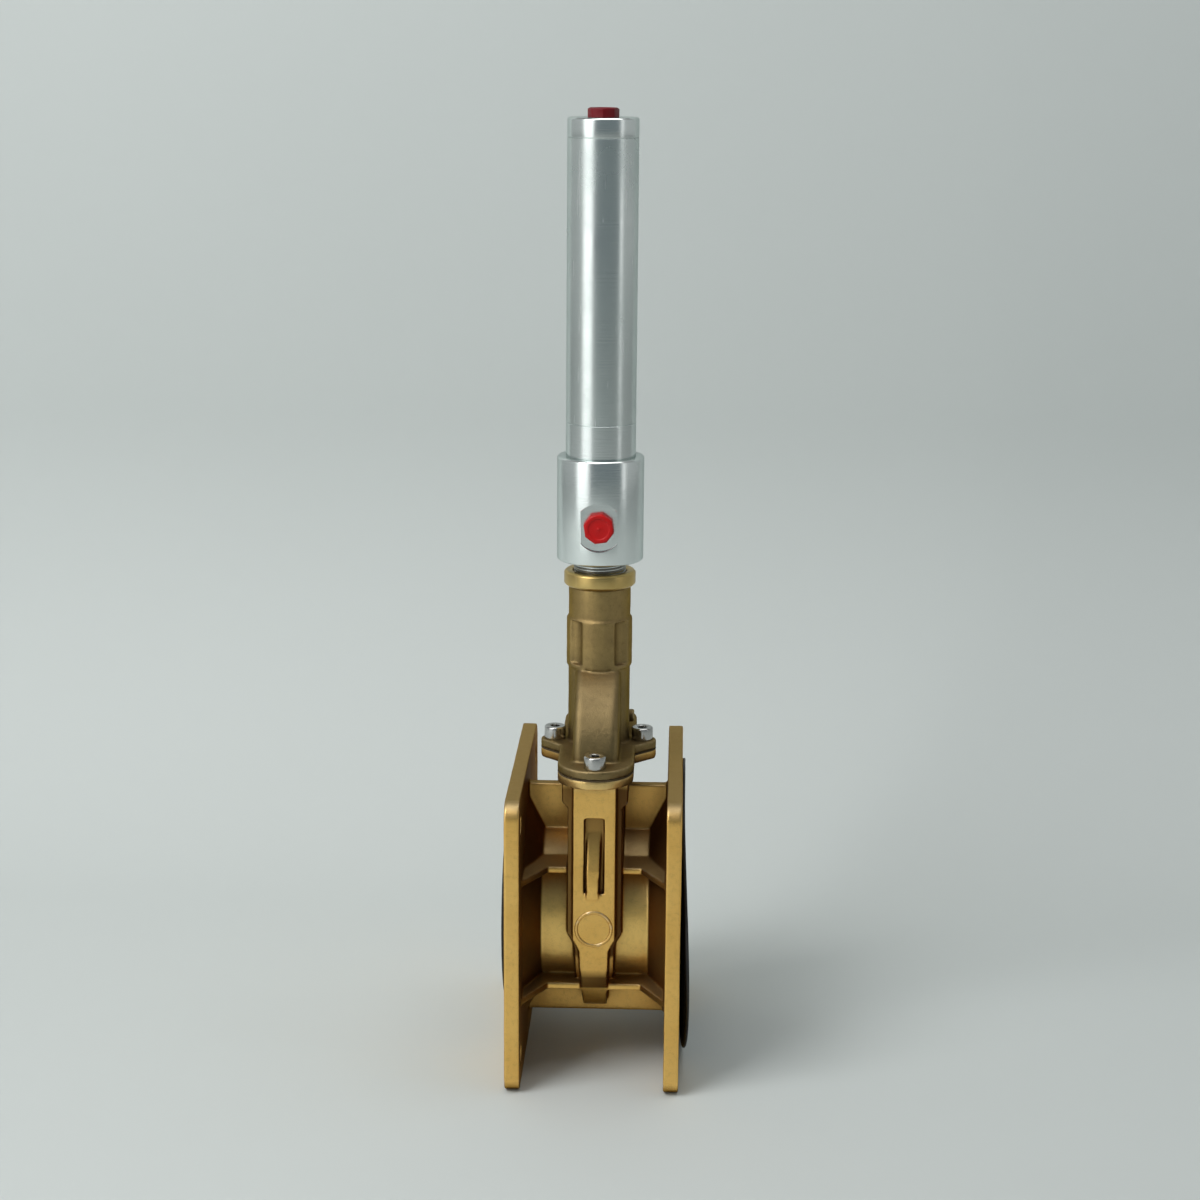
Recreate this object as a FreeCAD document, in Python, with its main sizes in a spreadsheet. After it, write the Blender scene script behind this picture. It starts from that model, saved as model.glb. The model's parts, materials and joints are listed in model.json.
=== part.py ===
import FreeCAD, Part
import os
import re
import Sketcher
from FreeCAD import Rotation, Vector

# A slide gate valve that stands on its two square flanges. Flow runs along X, the blade rises along Z,
# and the origin is on the floor under the middle of the bore. The nose of the casting faces -Y.

doc = FreeCAD.newDocument("slide_gate_valve")

# Driving sizes in millimetres
driving = {
    # end flanges
    "flange_side": 200,
    "flange_thickness": 10,
    "flange_corner": 12,
    "face_to_face": 114.8,
    "bolt_spacing": 160,
    "bolt_hole_radius": 7,
    "gasket_inset": 1,
    "left_gasket_width": 19,
    "gasket_thickness": 4,
    # barrel between the flanges
    "bore_radius": 49,
    "barrel_wall": 4.5,
    "hub_radius": 76,
    "hub_length": 11.4,
    # upright web and level ribs that stiffen the barrel
    "web_thickness": 8,
    "web_rise": 85,
    "web_drop": 79,
    "rib_thickness": 4.6,
    "rib_offset": 41,
    "rib_flat": 31,
    "rib_reach": 56,
    "rib_flare": 86,
    # gate chamber and the nose in front of it
    "chamber_wall": 6.7,
    "chamber_gap": 0.6,
    "housing_width": 36,
    "neck_width": 43.6,
    "neck_depth": 18,
    "neck_slope": 4,
    "nose_reach": 70.6,
    "nose_width": 28.6,
    "nose_lower_width": 20,
    "nose_tip_width": 15,
    "shoulder_drop": 2,
    "shoulder_height": 8,
    "nose_edge": 1.6,
    "slot_width": 13.4,
    "slot_length": 52,
    "slot_rise": 30,
    "slot_depth": 8.5,
    "fin_thickness": 7.2,
    "fin_offset": 1.8,
    "fin_proud": 2,
    # cover flange on the body, its gasket and the flange of the bonnet
    "body_rise": 110,
    "cover_width": 50,
    "cover_length": 158,
    "cover_thickness": 6,
    "cover_gasket": 0.8,
    "lid_thickness": 5.8,
    "ear_radius": 9.5,
    "ear_offset": 4.5,
    "screw_gap": 2.7,
    "screw_land": 9.2,
    # bonnet
    "dome_wall": 6,
    "dome_width": 30,
    "dome_edge": 5,
    "column_radius": 20.7,
    "lobe_radius": 22,
    "lobe_height": 32,
    "lobe_overlap": 2.3,
    "scoop_radius": 8,
    "scoop_floor": 18.6,
    "bead_radius": 23.9,
    "bead_height": 10,
    "bead_edge": 1.5,
    "boss_radius": 4.4,
    "boss_reach": 23.6,
    "boss_rise": 15.2,
    "boss_back": 24,
    "thread_radius": 17.6,
    "thread_length": 22,
    "thread_shown": 7.4,
    # cover screws, M8 with a socket head
    "screw_radius": 4,
    "screw_head_radius": 7.2,
    "screw_head_height": 8.4,
    "screw_head_edge": 0.8,
    "socket_width": 6,
    "socket_depth": 4.5,
    "screw_clearance": 0.5,
    "screw_floor": 0.6,
    # blade and its seat seals
    "blade_radius": 53,
    "blade_thickness": 8,
    "blade_edge": 1,
    "side_gap": 0.8,
    "blade_gap": 0.3,
    "seal_width": 5.6,
    "seal_thickness": 5,
    "stroke": 112,
    # link from the blade to the rod
    "tab_width": 20,
    "tab_rise": 17.4,
    "tab_gap": 0.1,
    "pin_rise": 7.4,
    "pin_radius": 3,
    "pin_length": 22,
    "clevis_start": 1.4,
    "clevis_length": 30,
    "clevis_radius": 12,
    "channel_gap": 1,
    "rod_thread_radius": 6,
    "rod_thread_length": 10,
    "end_gap": 2,
    # rod, and what guides and seals it
    "rod_radius": 10,
    "rod_clearance": 0.4,
    "running_gap": 0.05,
    "soft_gap": 0.3,
    "seat_gap": 0.05,
    "packing_radius": 15,
    "packing_height": 12,
    "wiper_radius": 14,
    "wiper_height": 5,
    "land_height": 3,
    "bush_radius": 13,
    "bush_length": 20,
    "rod_seal_radius": 14.5,
    "rod_seal_height": 8,
    # cylinder head
    "head_radius": 28.8,
    "head_height": 69.6,
    "head_edge": 1,
    "port_rise": 25.9,
    "port_radius": 8.3,
    "spot_face_radius": 16,
    "spot_face_depth": 2.7,
    # tube, lock ring and cap
    "tube_bore_radius": 20,
    "tube_wall": 3.1,
    "tube_edge": 0.4,
    "tube_grip": 17,
    "ring_height": 22.5,
    "cap_grip": 16,
    "cap_height": 12.6,
    "cap_edge": 1,
    "spigot_gap": 0.1,
    "o_ring_thickness": 3,
    "o_ring_offset": 5,
    # piston
    "piston_length": 23.5,
    "piston_gap": 0.15,
    "piston_bore_radius": 7,
    "ring_gap": 0.1,
    "guide_ring_offset": 3,
    "guide_ring_height": 5,
    "guide_ring_depth": 2.4,
    "piston_seal_offset": 13,
    "piston_seal_height": 6,
    "piston_seal_depth": 4.5,
    "nut_width": 24,
    "nut_height": 10,
    "rod_end_shown": 1.4,
    # plastic plugs of the oil ports
    "plug_sides": 8,
    "plug_head_radius": 10.2,
    "plug_head_height": 6,
    "plug_dish_radius": 8.2,
    "plug_dish_depth": 0.8,
    "plug_shank_length": 9,
    "plug_gap": 0.1,
}

# Places that follow from the driving sizes, as formulas of them and of each other
places = {
    "flange_outer": "face_to_face / 2",
    "flange_inner": "flange_outer - flange_thickness",
    "gasket_radius": "flange_side / 2 - gasket_inset",
    "barrel_radius": "bore_radius + barrel_wall",
    "bore_height": "flange_side / 2",
    "body_top": "bore_height + body_rise",
    "cover_bottom": "body_top - cover_thickness",
    "lid_bottom": "body_top + cover_gasket",
    "lid_top": "lid_bottom + lid_thickness",
    "cover_end": "(cover_length - cover_width) / 2",
    "screw_side": "cover_width / 2 + ear_offset",
    "screw_end": "dome_radius + screw_head_radius + screw_gap",
    "chamber_radius": "blade_radius + side_gap",
    "chamber_width": "blade_thickness + 2 * chamber_gap",
    "housing_radius": "chamber_radius + chamber_wall",
    "shoulder_top": "bore_height - shoulder_drop",
    "slot_bottom": "bore_height + slot_rise",
    "slot_floor": "nose_reach - slot_depth",
    "open_height": "bore_height + stroke",
    "dome_radius": "chamber_radius + dome_wall",
    "seal_radius": "bore_radius + seal_width",
    "seal_face": "blade_thickness / 2 + blade_gap",
    "seal_back": "seal_face + seal_thickness",
    "link_foot": "bore_height + seal_radius",
    "tab_top": "link_foot + tab_rise",
    "pin_height": "link_foot + pin_rise",
    "clevis_bottom": "link_foot + clevis_start",
    "clevis_top": "clevis_bottom + clevis_length",
    "channel_radius": "clevis_radius + channel_gap",
    "channel_bottom": "clevis_bottom - end_gap - channel_gap",
    "packing_bottom": "clevis_top + stroke + end_gap",
    "spigot_bottom": "packing_bottom + packing_height",
    "column_top": "spigot_bottom + thread_length",
    "bead_bottom": "column_top - bead_height",
    "lobe_bottom": "open_height + dome_radius - lobe_overlap",
    "lobe_top": "lobe_bottom + lobe_height",
    "head_bottom": "column_top + thread_shown",
    "head_top": "head_bottom + head_height",
    "land_bottom": "spigot_bottom + wiper_height",
    "bush_bottom": "land_bottom + land_height",
    "bush_top": "bush_bottom + bush_length",
    "port_height": "head_bottom + port_rise",
    "port_face": "head_radius - spot_face_depth",
    "ring_top": "head_top + ring_height",
    "tube_radius": "tube_bore_radius + tube_wall",
    "head_spigot_top": "ring_top + tube_grip",
    "spigot_radius": "tube_bore_radius - spigot_gap",
    "groove_radius": "spigot_radius - o_ring_thickness",
    "piston_bottom": "head_spigot_top + end_gap",
    "piston_top": "piston_bottom + piston_length",
    "piston_radius": "tube_bore_radius - piston_gap",
    "piston_ring_radius": "tube_bore_radius - ring_gap",
    "guide_ring_bottom": "piston_bottom + guide_ring_offset",
    "piston_seal_bottom": "piston_bottom + piston_seal_offset",
    "nut_top": "piston_top + nut_height",
    "rod_top": "nut_top + rod_end_shown",
    "cap_spigot_bottom": "rod_top + stroke + end_gap",
    "tube_top": "cap_spigot_bottom + cap_grip",
    "cap_top": "tube_top + cap_height",
}

sheet = doc.addObject("Spreadsheet::Sheet", "sizes")
for row, (name, value) in enumerate(driving.items(), start=1):
    sheet.set("A%d" % row, name)
    sheet.set("B%d" % row, str(value))
    sheet.setAlias("B%d" % row, name)
doc.recompute()

upright = Rotation()
along_flow = Rotation(Vector(0, 1, 0), 90)
to_front = Rotation(Vector(1, 0, 0), 90)
plug_turn = to_front.multiply(Rotation(Vector(0, 0, 1), 32))


def sized(formula):
    """Turn a formula of plain names into one that reads the spreadsheet."""
    def swap(found):
        word = found.group(0)
        if word in places:
            return "(" + sized(places[word]) + ")"
        return "sizes." + word if word in driving else word
    return re.sub(r"[a-z_]+", swap, str(formula))


def put(thing, x="0", y="0", z="0", turn=upright):
    thing.Placement.Rotation = turn
    for axis, formula in (("x", x), ("y", y), ("z", z)):
        thing.setExpression("Placement.Base." + axis, sized(formula))
    return thing


def block(name, x, y, z):
    """A box from three pairs of formulas: its low and high side along each axis."""
    box = doc.addObject("Part::Box", name)
    for side, (low, high) in (("Length", x), ("Width", y), ("Height", z)):
        box.setExpression(side, sized("(%s) - (%s)" % (high, low)))
    return put(box, x[0], y[0], z[0])


def middle_block(name, width, depth, z):
    """A box centred on the Z axis."""
    half_x = "(%s) / 2" % width
    half_y = "(%s) / 2" % depth
    return block(name, ("-" + half_x, half_x), ("-" + half_y, half_y), z)


def rod_shape(name, radius, length, x="0", y="0", z="0", turn=upright):
    """A round bar from its start point, along Z unless it is turned."""
    bar = doc.addObject("Part::Cylinder", name)
    bar.setExpression("Radius", sized(radius))
    bar.setExpression("Height", sized(length))
    return put(bar, x, y, z, turn)


def disc_across(name, radius, width, z, y="0"):
    """A round disc on the flow axis, centred on the valve's middle plane."""
    return rod_shape(name, radius, width, x="-(%s) / 2" % width, y=y, z=z, turn=along_flow)


def prism(name, sides, corner_radius, length, x="0", y="0", z="0", turn=upright):
    shape = doc.addObject("Part::Prism", name)
    shape.setExpression("Polygon", sized(sides))
    shape.setExpression("Circumradius", sized(corner_radius))
    shape.setExpression("Height", sized(length))
    return put(shape, x, y, z, turn)


def joined(name, pieces):
    union = doc.addObject("Part::MultiFuse", name)
    union.Shapes = pieces
    union.Refine = True
    return union


def trimmed(name, base, tools):
    cut = doc.addObject("Part::Cut", name)
    cut.Base = base
    cut.Tool = tools[0] if len(tools) == 1 else joined(name + "_tools", tools)
    cut.Refine = True
    return cut


def draw_outline(body, plane, corners, lift="0"):
    """A closed outline of straight lines whose corners are pairs of formulas."""
    sketch = body.newObject("Sketcher::SketchObject", body.Name + "_outline")
    face = next(f for f in body.Origin.OriginFeatures if f.Role == plane)
    sketch.AttachmentSupport = [(face, "")]
    sketch.MapMode = "FlatFace"
    sketch.setExpression("AttachmentOffset.Base.z", sized(lift))
    count = len(corners)
    turn = Rotation(Vector(0, 0, 1), 360 / count)
    start = [Vector(10, 0, 0)]
    for _ in range(count):
        start.append(turn.multVec(start[-1]))
    for i in range(count):
        sketch.addGeometry(Part.LineSegment(start[i], start[i + 1]))
    for i in range(count):
        sketch.addConstraint(Sketcher.Constraint("Coincident", i, 2, (i + 1) % count, 1))
    for i, corner in enumerate(corners):
        for kind, formula in zip(("DistanceX", "DistanceY"), corner):
            label = "corner%d%s" % (i, kind[-1])
            index = sketch.addConstraint(Sketcher.Constraint(kind, -1, 1, i, 1, 1.0))
            sketch.renameConstraint(index, label)
            sketch.setExpression("Constraints." + label, sized(formula))
    return sketch


def padded_outline(name, plane, corners, length, lift="0", both_ways=False):
    body = doc.addObject("PartDesign::Body", name)
    pad = body.newObject("PartDesign::Pad", name + "_pad")
    pad.Profile = draw_outline(body, plane, corners, lift)
    pad.SideType = "Symmetric" if both_ways else "One side"
    pad.setExpression("Length", sized(length))
    body.Tip = pad
    return body


def turned(name, corners):
    """A piece turned about the Z axis, from the (radius, height) corners of its half section."""
    body = doc.addObject("PartDesign::Body", name)
    sketch = draw_outline(body, "XZ_Plane", corners)
    lathe = body.newObject("PartDesign::Revolution", name + "_revolution")
    lathe.Profile = sketch
    lathe.ReferenceAxis = (sketch, ["V_Axis"])
    lathe.Angle = 360
    body.Tip = lathe
    return body


def turned_ring(name, inner, outer, bottom, top, edge="0"):
    """A plain ring about the Z axis, its outer edges broken by a small chamfer where one is asked for."""
    if edge == "0":
        return turned(name, [(inner, bottom), (outer, bottom), (outer, top), (inner, top)])
    return turned(name, [
        (inner, bottom),
        ("%s - %s" % (outer, edge), bottom),
        (outer, "%s + %s" % (bottom, edge)),
        (outer, "%s - %s" % (top, edge)),
        ("%s - %s" % (outer, edge), top),
        (inner, top),
    ])


def rounded(name, base, radius, wanted):
    """Round the edges of a shape that the test picks."""
    doc.recompute()
    picked = [i for i, edge in enumerate(base.Shape.Edges, start=1) if wanted(edge)]
    fillet = doc.addObject("Part::Fillet", name)
    fillet.Base = base
    fillet.Edges = [(i, radius, radius) for i in picked]
    return fillet


def runs_along_flow(edge):
    box = edge.BoundBox
    return box.YLength < 0.01 and box.ZLength < 0.01


def arch(name, radius, width, centre, end):
    """A disc across the flow that runs on as a straight slab, up or down, to the height of its end."""
    disc = disc_across(name + "_disc", radius, width, centre)
    above = end[0] == "+"
    height = end[1:]
    z = (centre, height) if above else (height, centre)
    slab = middle_block(name + "_slab", width, "2 * (%s)" % radius, z)
    return joined(name, [disc, slab])


# Where the four cover screws stand
screw_places = [("screw_side", "0"), ("-screw_side", "0"), ("0", "screw_end"), ("0", "-screw_end")]


def screw_holes(name, radius, bottom, length):
    return [rod_shape("%s_%d" % (name, i), radius, length, x, y, bottom)
            for i, (x, y) in enumerate(screw_places)]


def cover_plate(name, bottom, thickness):
    """The long flat with round ends, metal round each screw and two ears, on body, gasket and bonnet."""
    straight = middle_block(name + "_straight", "cover_width", "2 * cover_end",
                            (bottom, bottom + " + " + thickness))
    pieces = [straight]
    slope = "ear_radius * sqrt(0.5)"
    for side, sign in (("plus", ""), ("minus", "-")):
        pieces.append(rod_shape(name + "_end_" + side, "cover_width / 2", thickness,
                                y=sign + "cover_end", z=bottom))
        pieces.append(rod_shape(name + "_land_" + side, "screw_land", thickness,
                                y=sign + "screw_end", z=bottom))
        pieces.append(rod_shape(name + "_ear_" + side, "ear_radius", thickness,
                                x=sign + "screw_side", z=bottom))
        foot = "%s + screw_side + %s" % (slope, slope)
        pieces.append(padded_outline(name + "_gusset_" + side, "XY_Plane", [
            ("0", "-(%s)" % foot),
            ("%s(screw_side + %s)" % (sign, slope), "-(%s)" % slope),
            ("%s(screw_side + %s)" % (sign, slope), slope),
            ("0", foot),
        ], thickness, lift=bottom))
    return joined(name, pieces)


def narrowed(name, tall_arch, extra):
    """An arch cut back on both sides below the bore axis, to the nose's outline and so much wider."""
    tip = "bore_height - nose_reach - 1"
    flanks = []
    for side, sign in (("plus", ""), ("minus", "-")):
        half = sign + "(%s + " + extra + ") / 2"
        flanks.append(padded_outline(name + "_flank_" + side, "XZ_Plane", [
            (half % "nose_width", "shoulder_top"),
            (half % "nose_lower_width", "shoulder_top - shoulder_height"),
            (half % "nose_tip_width", tip),
            (half % "nose_width + 2", tip),
            (half % "nose_width + 2", "shoulder_top"),
        ], "2 * nose_reach + 2", both_ways=True))
    return trimmed(name, tall_arch, flanks)


def make_valve_body():
    solids = []
    nose = arch("nose_arch", "nose_reach", "nose_width", "bore_height", "+cover_bottom")
    solids.append(narrowed("nose", nose, "0"))
    housing = arch("housing_arch", "housing_radius", "housing_width", "bore_height", "+cover_bottom")
    solids.append(narrowed("housing", housing, "housing_width - nose_width"))
    solids.append(padded_outline("neck", "XZ_Plane", [
        ("-neck_width / 2", "cover_bottom"),
        ("-neck_width / 2", "cover_bottom - neck_depth + neck_slope"),
        ("-neck_width / 2 + neck_slope", "cover_bottom - neck_depth"),
        ("neck_width / 2 - neck_slope", "cover_bottom - neck_depth"),
        ("neck_width / 2", "cover_bottom - neck_depth + neck_slope"),
        ("neck_width / 2", "cover_bottom"),
    ], "2 * housing_radius", both_ways=True))
    solids.append(cover_plate("body_cover", "cover_bottom", "cover_thickness"))
    # barrel, the cones that meet the flanges, and the flanges
    solids.append(disc_across("barrel", "barrel_radius", "2 * flange_inner", "bore_height"))
    for side, sign in (("right", ""), ("left", "-")):
        cone = doc.addObject("Part::Cone", "hub_" + side)
        cone.setExpression("Radius1", sized("barrel_radius"))
        cone.setExpression("Radius2", sized("hub_radius"))
        cone.setExpression("Height", sized("hub_length"))
        turn = along_flow if side == "right" else Rotation(Vector(0, 1, 0), -90)
        put(cone, sign + "(flange_inner - hub_length)", "0", "bore_height", turn)
        near = "flange_inner" if side == "right" else "-flange_outer"
        plate = block("flange_plate_" + side, (near, near + " + flange_thickness"),
                      ("-flange_side / 2", "flange_side / 2"), ("0", "flange_side"))
        solids += [cone, rounded("flange_" + side, plate, driving["flange_corner"], runs_along_flow)]
    # web and ribs
    solids.append(middle_block("web", "2 * flange_inner", "web_thickness",
                               ("bore_height - web_drop", "bore_height + web_rise")))
    for level, sign in (("upper", "+"), ("lower", "-")):
        solids.append(padded_outline(level + "_rib", "XY_Plane", [
            ("-flange_inner", "-rib_flare"),
            ("-rib_flat", "-rib_reach"),
            ("rib_flat", "-rib_reach"),
            ("flange_inner", "-rib_flare"),
            ("flange_inner", "rib_flare"),
            ("rib_flat", "rib_reach"),
            ("-rib_flat", "rib_reach"),
            ("-flange_inner", "rib_flare"),
        ], "rib_thickness", lift="bore_height %s rib_offset - rib_thickness / 2" % sign))
    casting = joined("body_casting", solids)

    tools = [disc_across("bore", "bore_radius", "face_to_face + 2", "bore_height")]
    tools.append(arch("chamber", "chamber_radius", "chamber_width", "bore_height", "+body_top + 1"))
    tools.append(disc_across("seal_recess", "seal_radius + seat_gap", "2 * seal_back", "bore_height"))
    tools.append(rod_shape("channel", "channel_radius", "body_top + 1 - channel_bottom", z="channel_bottom"))
    tools += screw_holes("tapped_hole", "screw_radius + seat_gap", "cover_bottom + screw_floor",
                         "cover_thickness")
    for row, z in (("low", "bore_height - bolt_spacing / 2"), ("high", "bore_height + bolt_spacing / 2")):
        for side, y in (("front", "-bolt_spacing / 2"), ("back", "bolt_spacing / 2")):
            tools.append(disc_across("bolt_hole_%s_%s" % (row, side), "bolt_hole_radius",
                                     "face_to_face + 2", z, y))
    slot = block("slot_block", ("-slot_width / 2", "slot_width / 2"), ("-nose_reach - 1", "-slot_floor"),
                 ("slot_bottom", "slot_bottom + slot_length"))
    tools.append(slot)
    machined = trimmed("body_machined", casting, tools)
    # curved lug that starts deep at the top of the slot and comes out at its foot
    lug = padded_outline("lug", "YZ_Plane", [
        ("-slot_floor", "slot_bottom + slot_length"),
        ("-slot_floor - slot_depth * 0.4", "slot_bottom + slot_length * 0.8"),
        ("-nose_reach - fin_proud / 2", "slot_bottom + slot_length * 0.3"),
        ("-nose_reach - fin_proud", "slot_bottom + slot_length * 0.1"),
        ("-nose_reach - fin_proud / 2", "slot_bottom - fin_thickness / 2"),
        ("-nose_reach", "slot_bottom - fin_thickness * 0.6"),
        ("-slot_floor", "slot_bottom"),
    ], "fin_thickness", lift="-fin_offset - fin_thickness / 2")
    return joined("valve_body", [machined, lug])


def make_bonnet():
    disc = disc_across("dome_disc", "dome_radius", "dome_width", "open_height")
    soft_disc = rounded("dome_rounded", disc, driving["dome_edge"], lambda edge: edge.BoundBox.XLength < 0.01)
    skirt = middle_block("dome_skirt", "dome_width", "2 * dome_radius", ("lid_bottom", "open_height"))
    skirt = rounded("dome_skirt_rounded", skirt, driving["dome_edge"],
                    lambda edge: edge.BoundBox.ZLength > 0.1)
    below = middle_block("below_lid", "2 * cover_width", "2 * cover_length", ("0", "lid_bottom"))
    dome = trimmed("dome", joined("dome_whole", [soft_disc, skirt]), [below])
    column = turned("column", [
        ("0", "lid_bottom"),
        ("column_radius", "lid_bottom"),
        ("column_radius", "lobe_bottom - lobe_radius + column_radius"),
        ("lobe_radius", "lobe_bottom"),
        ("lobe_radius", "lobe_top"),
        ("column_radius", "lobe_top + lobe_radius - column_radius"),
        ("column_radius", "bead_bottom"),
        ("bead_radius - bead_edge", "bead_bottom"),
        ("bead_radius", "bead_bottom + bead_edge"),
        ("bead_radius", "column_top - bead_edge"),
        ("bead_radius - bead_edge", "column_top"),
        ("0", "column_top"),
    ])
    scoops = []
    for i, (sign_x, sign_y) in enumerate((("", ""), ("", "-"), ("-", ""), ("-", "-"))):
        place = "(scoop_floor + scoop_radius) * sqrt(0.5)"
        scoops.append(rod_shape("scoop_%d" % i, "scoop_radius", "lobe_height - lobe_overlap",
                                sign_x + place, sign_y + place, "lobe_bottom + lobe_overlap"))
    ribbed = trimmed("ribbed_column", column, scoops)
    boss = rod_shape("flush_boss", "boss_radius", "boss_reach", y="boss_back", z="lid_bottom + boss_rise",
                     turn=along_flow)
    casting = joined("bonnet_casting", [
        cover_plate("lid", "lid_bottom", "lid_thickness"), dome, ribbed, boss])
    tools = [arch("dome_cavity", "chamber_radius", "chamber_width", "open_height", "-lid_bottom - 1")]
    tools.append(rod_shape("bonnet_channel", "channel_radius", "packing_bottom - lid_bottom + 1",
                           z="lid_bottom - 1"))
    tools.append(rod_shape("packing_bore", "packing_radius + seat_gap", "packing_height + 1",
                           z="packing_bottom"))
    tools.append(rod_shape("threaded_bore", "thread_radius + seat_gap", "thread_length + 1",
                           z="spigot_bottom"))
    tools += screw_holes("lid_hole", "screw_radius + screw_clearance", "lid_bottom - 1", "lid_thickness + 2")
    return trimmed("bonnet", casting, tools)


def make_bonnet_gasket():
    sheet_shape = cover_plate("gasket_sheet", "body_top", "cover_gasket")
    tools = [middle_block("gasket_slot", "chamber_width", "2 * chamber_radius",
                          ("body_top - 1", "lid_bottom + 1"))]
    tools.append(rod_shape("gasket_channel", "channel_radius", "cover_gasket + 2", z="body_top - 1"))
    tools += screw_holes("gasket_hole", "screw_radius + screw_clearance", "body_top - 1", "cover_gasket + 2")
    return trimmed("bonnet_gasket", sheet_shape, tools)


def make_screws():
    screws = []
    for i, (x, y) in enumerate(screw_places):
        shank_bottom = "cover_bottom + screw_floor + seat_gap"
        shank = rod_shape("shank_%d" % i, "screw_radius", "lid_top - (%s)" % shank_bottom, x, y, shank_bottom)
        barrel = rod_shape("screw_barrel_%d" % i, "screw_head_radius", "screw_head_height - screw_head_edge",
                           x, y, "lid_top")
        crown = doc.addObject("Part::Cone", "screw_crown_%d" % i)
        crown.setExpression("Radius1", sized("screw_head_radius"))
        crown.setExpression("Radius2", sized("screw_head_radius - screw_head_edge"))
        crown.setExpression("Height", sized("screw_head_edge"))
        put(crown, x, y, "lid_top + screw_head_height - screw_head_edge")
        socket = prism("socket_%d" % i, "6", "socket_width / sqrt(3)", "socket_depth + 1", x, y,
                       "lid_top + screw_head_height - socket_depth")
        screws.append(trimmed("screw_%d" % i, joined("screw_blank_%d" % i, [shank, barrel, crown]), [socket]))
    group = doc.addObject("Part::Compound", "bonnet_screws")
    group.Links = screws
    return group


def make_ring_across(name, inner, outer, start, thickness):
    """A flat ring about the bore axis."""
    disc = rod_shape(name + "_disc", outer, thickness, x=start, z="bore_height", turn=along_flow)
    hole = rod_shape(name + "_hole", inner, thickness + " + 2", x=start + " - 1", z="bore_height",
                     turn=along_flow)
    return trimmed(name, disc, [hole])


def make_blade():
    disc = disc_across("blade_disc", "blade_radius", "blade_thickness", "bore_height")
    soft_disc = rounded("blade_rounded", disc, driving["blade_edge"],
                        lambda edge: edge.BoundBox.XLength < 0.01)
    tab = middle_block("blade_tab", "blade_thickness", "tab_width", ("bore_height", "tab_top"))
    hole = disc_across("blade_pin_hole", "pin_radius + seat_gap", "blade_thickness + 2", "pin_height")
    return trimmed("gate_blade", joined("blade_blank", [soft_disc, tab]), [hole])


def make_clevis():
    bar = rod_shape("clevis_bar", "clevis_radius", "clevis_length", z="clevis_bottom")
    slot = middle_block("clevis_slot", "blade_thickness + 2 * tab_gap", "2 * clevis_radius + 2",
                        ("clevis_bottom - 1", "tab_top + tab_gap"))
    hole = disc_across("clevis_pin_hole", "pin_radius + seat_gap", "2 * clevis_radius + 2", "pin_height")
    thread = rod_shape("clevis_thread", "rod_thread_radius + seat_gap", "rod_thread_length + 1",
                       z="clevis_top - rod_thread_length")
    return trimmed("blade_clevis", bar, [slot, hole, thread])


def make_rod():
    return turned("piston_rod", [
        ("0", "clevis_top - rod_thread_length + seat_gap"),
        ("rod_thread_radius", "clevis_top - rod_thread_length + seat_gap"),
        ("rod_thread_radius", "clevis_top"),
        ("rod_radius", "clevis_top"),
        ("rod_radius", "piston_bottom"),
        ("piston_bore_radius", "piston_bottom"),
        ("piston_bore_radius", "rod_top"),
        ("0", "rod_top"),
    ])


def make_head():
    groove = "head_spigot_top - o_ring_offset"
    blank = turned("head_blank", [
        ("wiper_radius + seat_gap", "spigot_bottom"),
        ("thread_radius", "spigot_bottom"),
        ("thread_radius", "head_bottom"),
        ("head_radius - head_edge", "head_bottom"),
        ("head_radius", "head_bottom + head_edge"),
        ("head_radius", "head_top - head_edge"),
        ("head_radius - head_edge", "head_top"),
        ("spigot_radius", "head_top"),
        ("spigot_radius", groove + " - o_ring_thickness"),
        ("groove_radius", groove + " - o_ring_thickness"),
        ("groove_radius", groove),
        ("spigot_radius", groove),
        ("spigot_radius", "head_spigot_top"),
        ("rod_seal_radius + seat_gap", "head_spigot_top"),
        ("rod_seal_radius + seat_gap", "bush_top"),
        ("bush_radius + seat_gap", "bush_top"),
        ("bush_radius + seat_gap", "bush_bottom"),
        ("rod_radius + rod_clearance", "bush_bottom"),
        ("rod_radius + rod_clearance", "land_bottom"),
        ("wiper_radius + seat_gap", "land_bottom"),
    ])
    port = rod_shape("side_port", "port_radius", "head_radius", z="port_height", turn=to_front)
    spot_face = rod_shape("spot_face", "spot_face_radius", "head_radius", y="-port_face", z="port_height",
                          turn=to_front)
    return trimmed("cylinder_head", blank, [port, spot_face])


def make_cap():
    groove = "cap_spigot_bottom + o_ring_offset"
    return turned("cylinder_cap", [
        ("port_radius", "cap_spigot_bottom"),
        ("spigot_radius", "cap_spigot_bottom"),
        ("spigot_radius", groove),
        ("groove_radius", groove),
        ("groove_radius", groove + " + o_ring_thickness"),
        ("spigot_radius", groove + " + o_ring_thickness"),
        ("spigot_radius", "tube_top"),
        ("tube_radius - tube_edge", "tube_top"),
        ("tube_radius", "tube_top + tube_edge"),
        ("tube_radius", "cap_top - cap_edge"),
        ("tube_radius - cap_edge", "cap_top"),
        ("port_radius", "cap_top"),
    ])


def make_o_ring(name, middle):
    ring = doc.addObject("Part::Torus", name)
    ring.setExpression("Radius1", sized("groove_radius + o_ring_thickness / 2"))
    ring.setExpression("Radius2", sized("o_ring_thickness / 2"))
    return put(ring, z=middle)


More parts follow.
